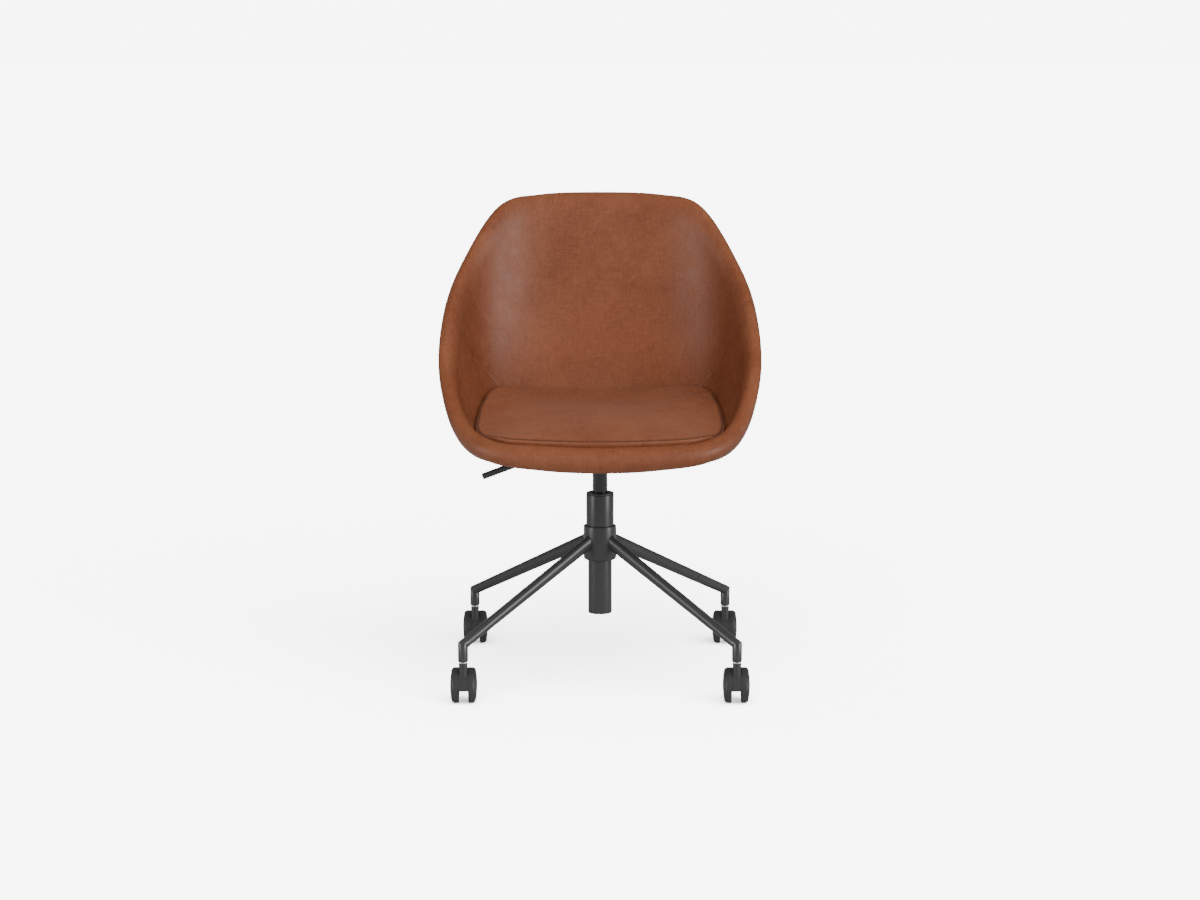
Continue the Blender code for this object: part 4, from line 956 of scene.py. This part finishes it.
def square_to_outline(x, y):
    """How far out a point of a square lies, and its share of the way round from the front."""
    out = max(abs(x), abs(y))
    if out == 0:
        return 0.0, 0.0
    x, y = x / out, y / out
    if y <= -1:
        way = x
    elif x >= 1:
        way = 2 + y
    elif y >= 1:
        way = 4 - x
    else:
        way = 6 - y
    return out, (way / 8) % 1.0


def cushion_panel(cells, place):
    """A square grid drawn out to the cushion's outline."""
    bm = bmesh.new()
    bmesh.ops.create_grid(bm, x_segments=cells, y_segments=cells, size=1.0)
    for vert in bm.verts:
        x, y = (round((part + 1) / 2 * cells) / cells * 2 - 1 for part in vert.co[:2])
        vert.co = place(*square_to_outline(x, y))
    return bm


def cushion_body(settings):
    """The cushion before its filling pushes: bottom, boxing and top, sewn at two seams."""
    outline = CushionOutline()
    crown = BUCKET_FLOOR + SEAT_HALF + CUSHION_THICKNESS - CUSHION_PUFF + CUSHION_CROWN

    @cache
    def wall_at(way):
        wall = Wall(outline.position(2 * way if way <= 0.5 else 2 - 2 * way))
        return wall, wall.cushion_share(), wall.cushion_foot()

    def on_side(way, point):
        return Vector((point.x if way <= 0.5 else -point.x, point.y, point.z))

    def top(out, way):
        wall, _, foot = wall_at(way)
        seam = foot + Vector((-CUSHION_DRAW_IN, wall.boxing))
        power = 2 + 2 * ease(1 - abs(1 - 2 * way))
        height = crown + (seam.y - crown) * out ** power + CUSHION_PUFF * 0.6 * (1 - out ** 6)
        return on_side(way, wall.in_space(Vector((seam.x * out, height))))

    def bottom(out, way):
        wall, end, foot = wall_at(way)
        reach = (foot.x - CUSHION_TUCK) * out
        if reach <= FLAT_RADIUS:
            return on_side(way, wall.in_space(Vector((reach, BUCKET_FLOOR + SEAT_HALF + FIT_GAP))))
        low = wall.share_at(reach, end, 18)
        gap = FIT_GAP + (CUSHION_GAP - FIT_GAP) * min(1.0, 5 * low)
        return on_side(way, wall.spot(low, wall.seat_half(low) + gap))

    bm = joined(cushion_panel(settings.cells, top), cushion_panel(settings.cells, bottom))
    rims = [edge for edge in bm.edges if edge.is_boundary]
    bridge = bmesh.ops.bridge_loops(bm, edges=rims)
    risers = [edge for edge in bridge["edges"] if edge not in rims]
    rings = {vert for edge in rims for vert in edge.verts}
    rows = bmesh.ops.subdivide_edges(bm, edges=risers, cuts=3, use_grid_fill=True)["geom_inner"]
    bmesh.ops.recalc_face_normals(bm, faces=bm.faces)
    bm.normal_update()
    for vert in rows:
        if isinstance(vert, bmesh.types.BMVert):
            beside_seam = any(edge.other_vert(vert) in rings for edge in vert.link_edges)
            vert.co += vert.normal * BOXING_SWELL * (0.75 if beside_seam else 1.0)
    return bm


def pin_cushion(piece, cells):
    """Holds the seams and the bottom, which lies in the bucket, while the rest fills out."""
    per_panel = (cells + 1) ** 2
    ring = []
    for number in range(per_panel):
        row, column = divmod(number, cells + 1)
        if column in (0, cells) or row in (0, cells):
            ring.append(number)
    group = piece.vertex_groups.new(name="sewn")
    group.add(ring + list(range(per_panel, 2 * per_panel)), 1.0, "REPLACE")
    return ring


def fill_out(piece, settings):
    """Lets the cover settle over its filling, but no point moves past the most swell."""
    scene = bpy.context.scene
    cloth = piece.modifiers.new("filling", "CLOTH")
    cloth.settings.use_pressure = True
    cloth.settings.uniform_pressure_force = settings.pressure
    cloth.settings.vertex_group_mass = "sewn"
    cloth.settings.effector_weights.gravity = 0.0
    cloth.settings.tension_stiffness = 12
    cloth.settings.compression_stiffness = 12
    cloth.settings.bending_stiffness = 0.6
    cloth.settings.quality = 6
    cloth.collision_settings.use_collision = False
    for number in range(1, 21):
        scene.frame_set(number)
    shape = piece.evaluated_get(bpy.context.evaluated_depsgraph_get()).data
    ends = [vert.co.copy() for vert in shape.vertices]
    piece.modifiers.remove(cloth)
    scene.frame_set(1)
    for vert, end in zip(piece.data.vertices, ends):
        way = end - vert.co
        if way.length > settings.most_swell:
            way = way * (settings.most_swell / way.length)
        vert.co += way


def sew_cushion(piece, ring, cells):
    """Draws the leather in along the top seam, with a soft roll on each side of it, and paints shade on the
    top toward its rear and along the boxing's foot.
    """
    bm = bmesh.new()
    bm.from_mesh(piece.data)
    shade = bm.verts.layers.float.new("seam_shade")
    bm.verts.ensure_lookup_table()
    per_panel = (cells + 1) ** 2
    seam = {bm.verts[number] for number in ring}
    panel = {bm.verts[number] for number in range(per_panel)}
    base = {bm.verts[number] for number in range(per_panel, 2 * per_panel)}
    top = [face for face in bm.faces if panel.issuperset(face.verts)]
    boxing = [
        face for face in bm.faces
        if not panel.issuperset(face.verts) and not base.issuperset(face.verts)]
    # Painted shade on the cushion's top, growing toward the back, where the bucket's back shades it
    for vert in panel:
        vert[shade] = REAR_PAINTED_SHADE * ease((vert.co.y - REAR_SHADE_START) / REAR_SHADE_RUN)
    # Painted shade along the boxing's foot, where the crease against the bucket falls into shadow
    for vert in {vert for face in boxing for vert in face.verts} & base:
        vert[shade] = BOXING_FOOT_PAINTED_SHADE
    for faces, widths in ((top, TOP_ROLL), (boxing, BOXING_ROLL)):
        for width in widths:
            bmesh.ops.inset_region(bm, faces=faces, thickness=width, use_boundary=True, use_even_offset=True)
    bm.normal_update()
    near = set()
    for vert in seam:
        near |= {edge.other_vert(vert) for edge in vert.link_edges} - seam
    for vert in near:
        vert.co += vert.normal * ROLL_RISE
        vert[shade] = ROLL_DARK
    for vert in seam:
        vert.co -= vert.normal * SEAM_SINK
        vert[shade] = SEAM_DARK
    bmesh.ops.recalc_face_normals(bm, faces=bm.faces)
    bm.to_mesh(piece.data)
    bm.free()


class TUBCHAIR_OT_cushion(bpy.types.Operator):
    """Loose seat cushion: a crowned top, a boxing band and the seam between them"""

    bl_idname = "tubchair.cushion"
    bl_label = "Seat cushion"

    def execute(self, context):
        settings = context.scene.tub_cushion
        bm = cushion_body(settings)
        # The cushion's hide is lifted lighter than the lining's: painted light for its lit top
        piece = add_piece(
            "leather_cushion", bm, "seat", "leather", "seat_cushion",
            saddle_leather("cushion_leather", (0.6, 4.2, 1.9), 0.08, 0.08), 180.0)
        ring = pin_cushion(piece, settings.cells)
        fill_out(piece, settings)
        sew_cushion(piece, ring, settings.cells)
        piece.vertex_groups.clear()
        smoothing = piece.modifiers.new("smoothing", "SUBSURF")
        smoothing.levels = 1
        smoothing.render_levels = 1
        return {"FINISHED"}


# Base


def spoke_turn(number):
    """Turns the first quarter to leg 1, 2, 3 or 4, counted from the sitter's rear left."""
    return Matrix.Rotation(math.pi / 4 + (number - 1) * math.pi / 2, 4, "Z")


def cut_mitre(bm, side):
    """Cuts a leg, with side 1, or its foot, with side -1, at the plane where they meet."""
    half_way = (math.pi / 2 + math.atan(LEG_SLOPE)) / 2
    along = Vector((1, 0, 1 / math.tan(half_way))).normalized()
    upward = Vector((-along.z, 0, along.x)) * side
    cut_away(bm, Vector((CASTER_RADIUS, 0, MITRE)) + upward * MITRE_HALF_GAP, -upward, MITRE_SOFT)
    return bm


def dressed_leg():
    """An oval tube that grows round toward its mitred tip."""
    tip_height = FOOT_RADIUS / math.cos(math.atan(LEG_SLOPE))
    root, tip = HUB_RADIUS - LEG_INSET, CASTER_RADIUS + MITRE_SPARE
    stations = []
    for step in range(13):
        reach = root + (tip - root) * step / 12
        share = (reach - HUB_RADIUS) / (CASTER_RADIUS - HUB_RADIUS)
        width = LEG_ROOT_WIDTH + (FOOT_RADIUS - LEG_ROOT_WIDTH) * share
        height = LEG_ROOT_HEIGHT + (tip_height - LEG_ROOT_HEIGHT) * share
        middle = MITRE + (CASTER_RADIUS - reach) * LEG_SLOPE
        stations.append(Matrix(((0, 0, 1, reach), (width, 0, 0, 0), (0, height, 0, middle), (0, 0, 0, 1))))
    return cut_mitre(swept(stations, 64), 1)


def dressed_foot():
    """The upright stub under a leg's tip."""
    top = MITRE + MITRE_SPARE
    bm = turned(((0, FOOT_BOTTOM), (FOOT_RADIUS, FOOT_BOTTOM, 0.0015), (FOOT_RADIUS, top), (0, top)), 64)
    return cut_mitre(moved(bm, Matrix.Translation((CASTER_RADIUS, 0, 0))), -1)


class TUBCHAIR_OT_base(bpy.types.Operator):
    """Hub, four legs and their feet in satin powder coat"""

    bl_idname = "tubchair.base"
    bl_label = "Hub and legs"

    def execute(self, context):
        recess = STAND_UPPER_RADIUS + HUB_RECESS_GAP
        recess_floor = HUB_TOP - HUB_RECESS_DEPTH
        bore = STAND_LOWER_RADIUS + FIT_GAP
        hub = turned((
            (bore, recess_floor), (recess, recess_floor), (recess, HUB_TOP, 0.0005),
            (HUB_RADIUS, HUB_TOP, 0.0014), (HUB_RADIUS, HUB_BOTTOM, 0.0050), (bore, HUB_BOTTOM),
        ), 128, closed=True)
        add_piece("dressed_hub", hub, "base", "powder_coat", "base_hub")
        for number in range(1, 5):
            for kind, maker in (("leg", dressed_leg), ("foot", dressed_foot)):
                node = "%s_%d" % (kind, number)
                bm = moved(maker(), spoke_turn(number))
                add_piece("dressed_" + node, bm, "base", "powder_coat", node)
        return {"FINISHED"}


# Casters


def dressed_wheel():
    """A wheel with a domed outer face, a moulding ring in it and a softened tread."""
    rim_face = WHEEL_WIDTH - WHEEL_DOME
    face = WHEEL_RADIUS - WHEEL_EDGE

    def on_dome(share, sink=0.0, *fillet):
        return (share * face, WHEEL_WIDTH - WHEEL_DOME * share ** 2 - sink, *fillet)

    edge = tuple(
        (face + WHEEL_EDGE * math.sin(angle), rim_face - WHEEL_EDGE * (1 - math.cos(angle)))
        for angle in (math.pi / 2 * step / 8 for step in range(1, 9)))
    return turned((
        (0, WHEEL_WIDTH), on_dome(0.20), on_dome(0.42), on_dome(0.62, 0.0, 0.0002),
        on_dome(0.64, WHEEL_GROOVE, 0.0002), on_dome(0.67, WHEEL_GROOVE, 0.0002),
        on_dome(0.69, 0.0, 0.0002), on_dome(0.85), (face, rim_face), *edge,
        (WHEEL_RADIUS, 0.0, 0.0005), (0.0, 0.0),
    ), 96)


def dressed_caster_body():
    """The web between the wheels, open below, and the bored neck that swivels on the stem."""
    half = WEB_WIDTH / 2
    rim = WHEEL_RADIUS - WEB_MARGIN
    web = turned(((0, half), (rim, half, 0.0003), (rim, -half, 0.0003), (0, -half)), 96)
    moved(web, Matrix.Translation((0, CASTER_TRAIL, WHEEL_RADIUS)) @ Matrix.Rotation(math.pi / 2, 4, "Y"))
    cut_away(web, (0, 0, NOTCH_HEIGHT), (0, 0, -1), 0.0006)
    lip = NECK_RADIUS + NECK_LIP
    neck = turned((
        (0, NECK_TOP - NECK_DEPTH), (NECK_RADIUS, NECK_TOP - NECK_DEPTH, 0.001),
        (NECK_RADIUS, NECK_TOP - 0.0030, 0.0006), (lip, NECK_TOP - 0.0022, 0.0004),
        (lip, NECK_TOP, 0.0008), (SWIVEL_BORE, NECK_TOP),
        (SWIVEL_BORE, NECK_TOP - SWIVEL_DEPTH), (0, NECK_TOP - SWIVEL_DEPTH),
    ), 64)
    return joined(web, neck)


def dressed_stem():
    """The bright collar, with the stem above it and the pin below."""
    top, bottom = FOOT_BOTTOM + STEM_REACH, COLLAR_BOTTOM - STEM_REACH
    return turned((
        (0, top), (STEM_RADIUS, top), (STEM_RADIUS, COLLAR_TOP), (COLLAR_RADIUS, COLLAR_TOP, 0.0006),
        (COLLAR_RADIUS, COLLAR_BOTTOM, 0.0006), (PIN_RADIUS, COLLAR_BOTTOM), (PIN_RADIUS, bottom),
        (0, bottom),
    ), 64)


class TUBCHAIR_OT_casters(bpy.types.Operator):
    """Four twin-wheel casters with their bright stems"""

    bl_idname = "tubchair.casters"
    bl_label = "Casters"

    def execute(self, context):
        inner_face = WEB_WIDTH / 2 + FIT_GAP
        for number in range(1, 5):
            stand = Matrix.Translation(spoke_turn(number) @ Vector((CASTER_RADIUS, 0, 0)))
            add_piece(
                "dressed_caster_body_%d" % number, moved(dressed_caster_body(), stand),
                "caster_%d" % number, "nylon_black", "caster_body_%d" % number)
            add_piece(
                "dressed_stem_%d" % number, moved(dressed_stem(), stand), "base", "bright_steel",
                "caster_stem_%d" % number)
            for side, direction in (("left", -1), ("right", 1)):
                across = Matrix.Rotation(direction * math.pi / 2, 4, "Y")
                offset = Matrix.Translation((direction * inner_face, CASTER_TRAIL, WHEEL_RADIUS))
                place = "%d_%s" % (number, side)
                add_piece(
                    "dressed_wheel_" + place, moved(dressed_wheel(), stand @ offset @ across),
                    "roller_" + place, "nylon_black", "wheel_" + place)
        return {"FINISHED"}


# Column, lever and underside


class TUBCHAIR_OT_column(bpy.types.Operator):
    """Stand tube and its guide bushing"""

    bl_idname = "tubchair.column"
    bl_label = "Lift column"

    def execute(self, context):
        bore = STAND_UPPER_RADIUS - STAND_WALL
        lower = STAND_LOWER_RADIUS - STAND_WALL
        step = HUB_BOTTOM + STAND_STEP
        floor_low, floor_high = STAND_BOTTOM + STAND_FLOOR_LOW, STAND_BOTTOM + STAND_FLOOR_HIGH
        stand = turned((
            (bore, STAND_TOP), (STAND_UPPER_RADIUS, STAND_TOP, 0.0010),
            (STAND_UPPER_RADIUS, HUB_TOP - HUB_RECESS_DEPTH), (STAND_TAPER_RADIUS, step),
            (STAND_LOWER_RADIUS, step), (STAND_LOWER_RADIUS, STAND_BOTTOM, 0.0012),
            (lower, STAND_BOTTOM, 0.0006), (lower, floor_low), (ROD_HOLE, floor_low),
            (ROD_HOLE, floor_high), (lower, floor_high), (lower, HUB_TOP), (bore, HUB_TOP),
        ), 96, closed=True)
        add_piece("dressed_stand_tube", stand, "base", "powder_coat", "stand_tube")
        top = STAND_TOP + BUSHING_FLANGE
        seat = STAND_TOP + FIT_GAP
        inner = CYLINDER_RADIUS + CYLINDER_GAP
        outer = bore - FIT_GAP
        bottom = STAND_TOP - BUSHING_DEPTH
        bushing = turned((
            (inner, top), (STAND_UPPER_RADIUS, top, 0.0012), (STAND_UPPER_RADIUS, seat, 0.0005),
            (outer, seat), (outer, bottom), (inner, bottom), (inner, top - 0.002),
        ), 96, closed=True)
        add_piece("dressed_bushing", bushing, "base", "nylon_black", "guide_bushing")
        return {"FINISHED"}


class TUBCHAIR_OT_lever(bpy.types.Operator):
    """Round lift lever that bends down toward the sitter's right hand"""

    bl_idname = "tubchair.lever"
    bl_label = "Lift lever"

    def execute(self, context):
        bend = LEVER_TIP - LEVER_DROP / math.tan(LEVER_SLOPE)
        stations = []

        def station(x, z, slope, radius):
            turn = Matrix.Rotation(-math.pi / 2 - slope, 4, "Y")
            stations.append(Matrix.Translation((x, 0, z)) @ turn @ Matrix.Diagonal((radius, radius, 1, 1)))

        station(0.003, LEVER_HEIGHT, 0, LEVER_RADIUS - 0.0004)
        station(0.0026, LEVER_HEIGHT, 0, LEVER_RADIUS)
        half = math.tan(LEVER_SLOPE / 2) * LEVER_BEND
        for step in range(9):
            angle = LEVER_SLOPE * step / 8
            station(
                -bend + half - LEVER_BEND * math.sin(angle),
                LEVER_HEIGHT - LEVER_BEND * (1 - math.cos(angle)), angle, LEVER_RADIUS)
        tip = Vector((-LEVER_TIP, LEVER_HEIGHT - LEVER_DROP))
        back = Vector((math.cos(LEVER_SLOPE), math.sin(LEVER_SLOPE)))
        for distance, shrink in ((1.0, 0.0), (0.5, 0.16), (0.15, 0.5), (0.0, 1.0)):
            spot = tip + back * (LEVER_END * distance)
            station(spot.x, spot.y, LEVER_SLOPE, LEVER_RADIUS - LEVER_END * shrink)
        add_piece("dressed_lever", swept(stations), "lever", "powder_coat", "lift_lever")
        return {"FINISHED"}


class TUBCHAIR_OT_kept_parts(bpy.types.Operator):
    """Finishes for the frame's own rigid pieces: plate, socket, bracket, bolts, cylinder and inner parts"""

    bl_idname = "tubchair.kept_parts"
    bl_label = "Kept parts"

    def execute(self, context):
        for entry in frame["record"]["subparts"]:
            if entry["material_slot"] != "leather":
                materials = frame["nodes"][entry["node"]].data.materials
                materials.clear()
                materials.append(finish_for(entry["material_slot"]))
        return {"FINISHED"}


# Stage


def studio_light(name, azimuth, elevation, angle, strength):
    """A broad soft light at infinity, placed by its compass and its height."""
    data = bpy.data.lights.new(name, "SUN")
    data.energy = strength
    data.angle = math.radians(angle)
    light = bpy.data.objects.new(name, data)
    turn, lift = math.radians(azimuth), math.radians(elevation)
    away = Vector((math.sin(turn) * math.cos(lift), -math.cos(turn) * math.cos(lift), math.sin(lift)))
    light.rotation_euler = away.to_track_quat("Z", "Y").to_euler()
    light.location = away * 4
    bpy.context.scene.collection.objects.link(light)
    return light


def seen_by_camera(tree, otherwise, seen):
    """One number for what the camera sees itself, and another for the light that it gives."""
    ray = add_node(tree, "ShaderNodeLightPath").outputs["Is Camera Ray"]
    return window(tree, ray, 0.0, 1.0, otherwise, seen)


class TUBCHAIR_OT_studio(bpy.types.Operator):
    """Seamless pale floor, soft light from all sides and the camera"""

    bl_idname = "tubchair.studio"
    bl_label = "Studio"

    def execute(self, context):
        scene = context.scene
        settings = scene.tub_studio
        bm = bmesh.new()
        bmesh.ops.create_grid(bm, x_segments=4, y_segments=4, size=60.0)
        mesh = bpy.data.meshes.new("studio_floor")
        bm.to_mesh(mesh)
        bm.free()
        floor = bpy.data.objects.new("studio_floor", mesh)
        scene.collection.objects.link(floor)
        material, tree, shader, _ = blank_material("studio_floor")
        paper = maths(tree, "MULTIPLY", seen_by_camera(tree, 1.0, settings.backdrop), settings.floor)
        fill_named(tree, shader, Base_Color=paper, Roughness=1.0, Specular_IOR_Level=0.0)
        mesh.materials.append(material)

        world = bpy.data.worlds.new("studio_world")
        world.use_nodes = True
        tree = world.node_tree
        level = seen_by_camera(tree, settings.ambient, settings.backdrop * settings.horizon)
        fill_named(tree, tree.nodes["Background"], Color=(1.0, 1.0, 1.0), Strength=level)
        scene.world = world
        for name, azimuth, elevation, angle, strength in (
                ("left_light", -66, 3, 18, settings.left), ("right_light", 66, 5, 20, settings.right)):
            studio_light(name, azimuth, elevation, angle, strength).visible_diffuse = False
        studio_light("front_light", 17, 41, 80, settings.front).visible_glossy = False

        data = bpy.data.cameras.new("photo_camera")
        data.lens = settings.lens
        data.sensor_width = 36.0
        camera = bpy.data.objects.new("photo_camera", data)
        camera.location = (0, -settings.camera_distance, settings.camera_height)
        camera.rotation_euler = (math.pi / 2 - settings.camera_pitch, 0, 0)
        scene.collection.objects.link(camera)
        scene.camera = camera
        return {"FINISHED"}


class TUBCHAIR_PT_sidebar(bpy.types.Panel):
    """Lists the settings and the steps that build the chair"""

    bl_idname = "TUBCHAIR_PT_sidebar"
    bl_label = "Tub chair"
    bl_space_type = "VIEW_3D"
    bl_region_type = "UI"
    bl_category = "Tub chair"

    def draw(self, context):
        for name in GROUPS:
            group = getattr(context.scene, name)
            box = self.layout.box()
            for key in group.bl_rna.properties.keys():
                if key not in ("rna_type", "name"):
                    box.prop(group, key)
        for step in STEPS:
            self.layout.operator(step.bl_idname)


STEPS = (
    TUBCHAIR_OT_studio,
    TUBCHAIR_OT_kept_parts,
    TUBCHAIR_OT_base,
    TUBCHAIR_OT_casters,
    TUBCHAIR_OT_column,
    TUBCHAIR_OT_lever,
    TUBCHAIR_OT_bucket,
    TUBCHAIR_OT_cushion,
)
GROUPS = {
    "tub_leather": LeatherSettings,
    "tub_metal": MetalSettings,
    "tub_bucket": BucketSettings,
    "tub_cushion": CushionSettings,
    "tub_studio": StudioSettings,
}
CLASSES = (*GROUPS.values(), *STEPS, TUBCHAIR_PT_sidebar)


def register():
    for item in CLASSES:
        bpy.utils.register_class(item)
    for name, group in GROUPS.items():
        setattr(bpy.types.Scene, name, PointerProperty(type=group))


def unregister():
    for name in GROUPS:
        delattr(bpy.types.Scene, name)
    for item in reversed(CLASSES):
        bpy.utils.unregister_class(item)


def main():
    register()
    bpy.ops.tubchair.studio()
    bpy.ops.tubchair.kept_parts()
    bpy.ops.tubchair.base()
    bpy.ops.tubchair.casters()
    bpy.ops.tubchair.column()
    bpy.ops.tubchair.lever()
    bpy.ops.tubchair.bucket()
    bpy.ops.tubchair.cushion()


if __name__ == "__main__":
    main()
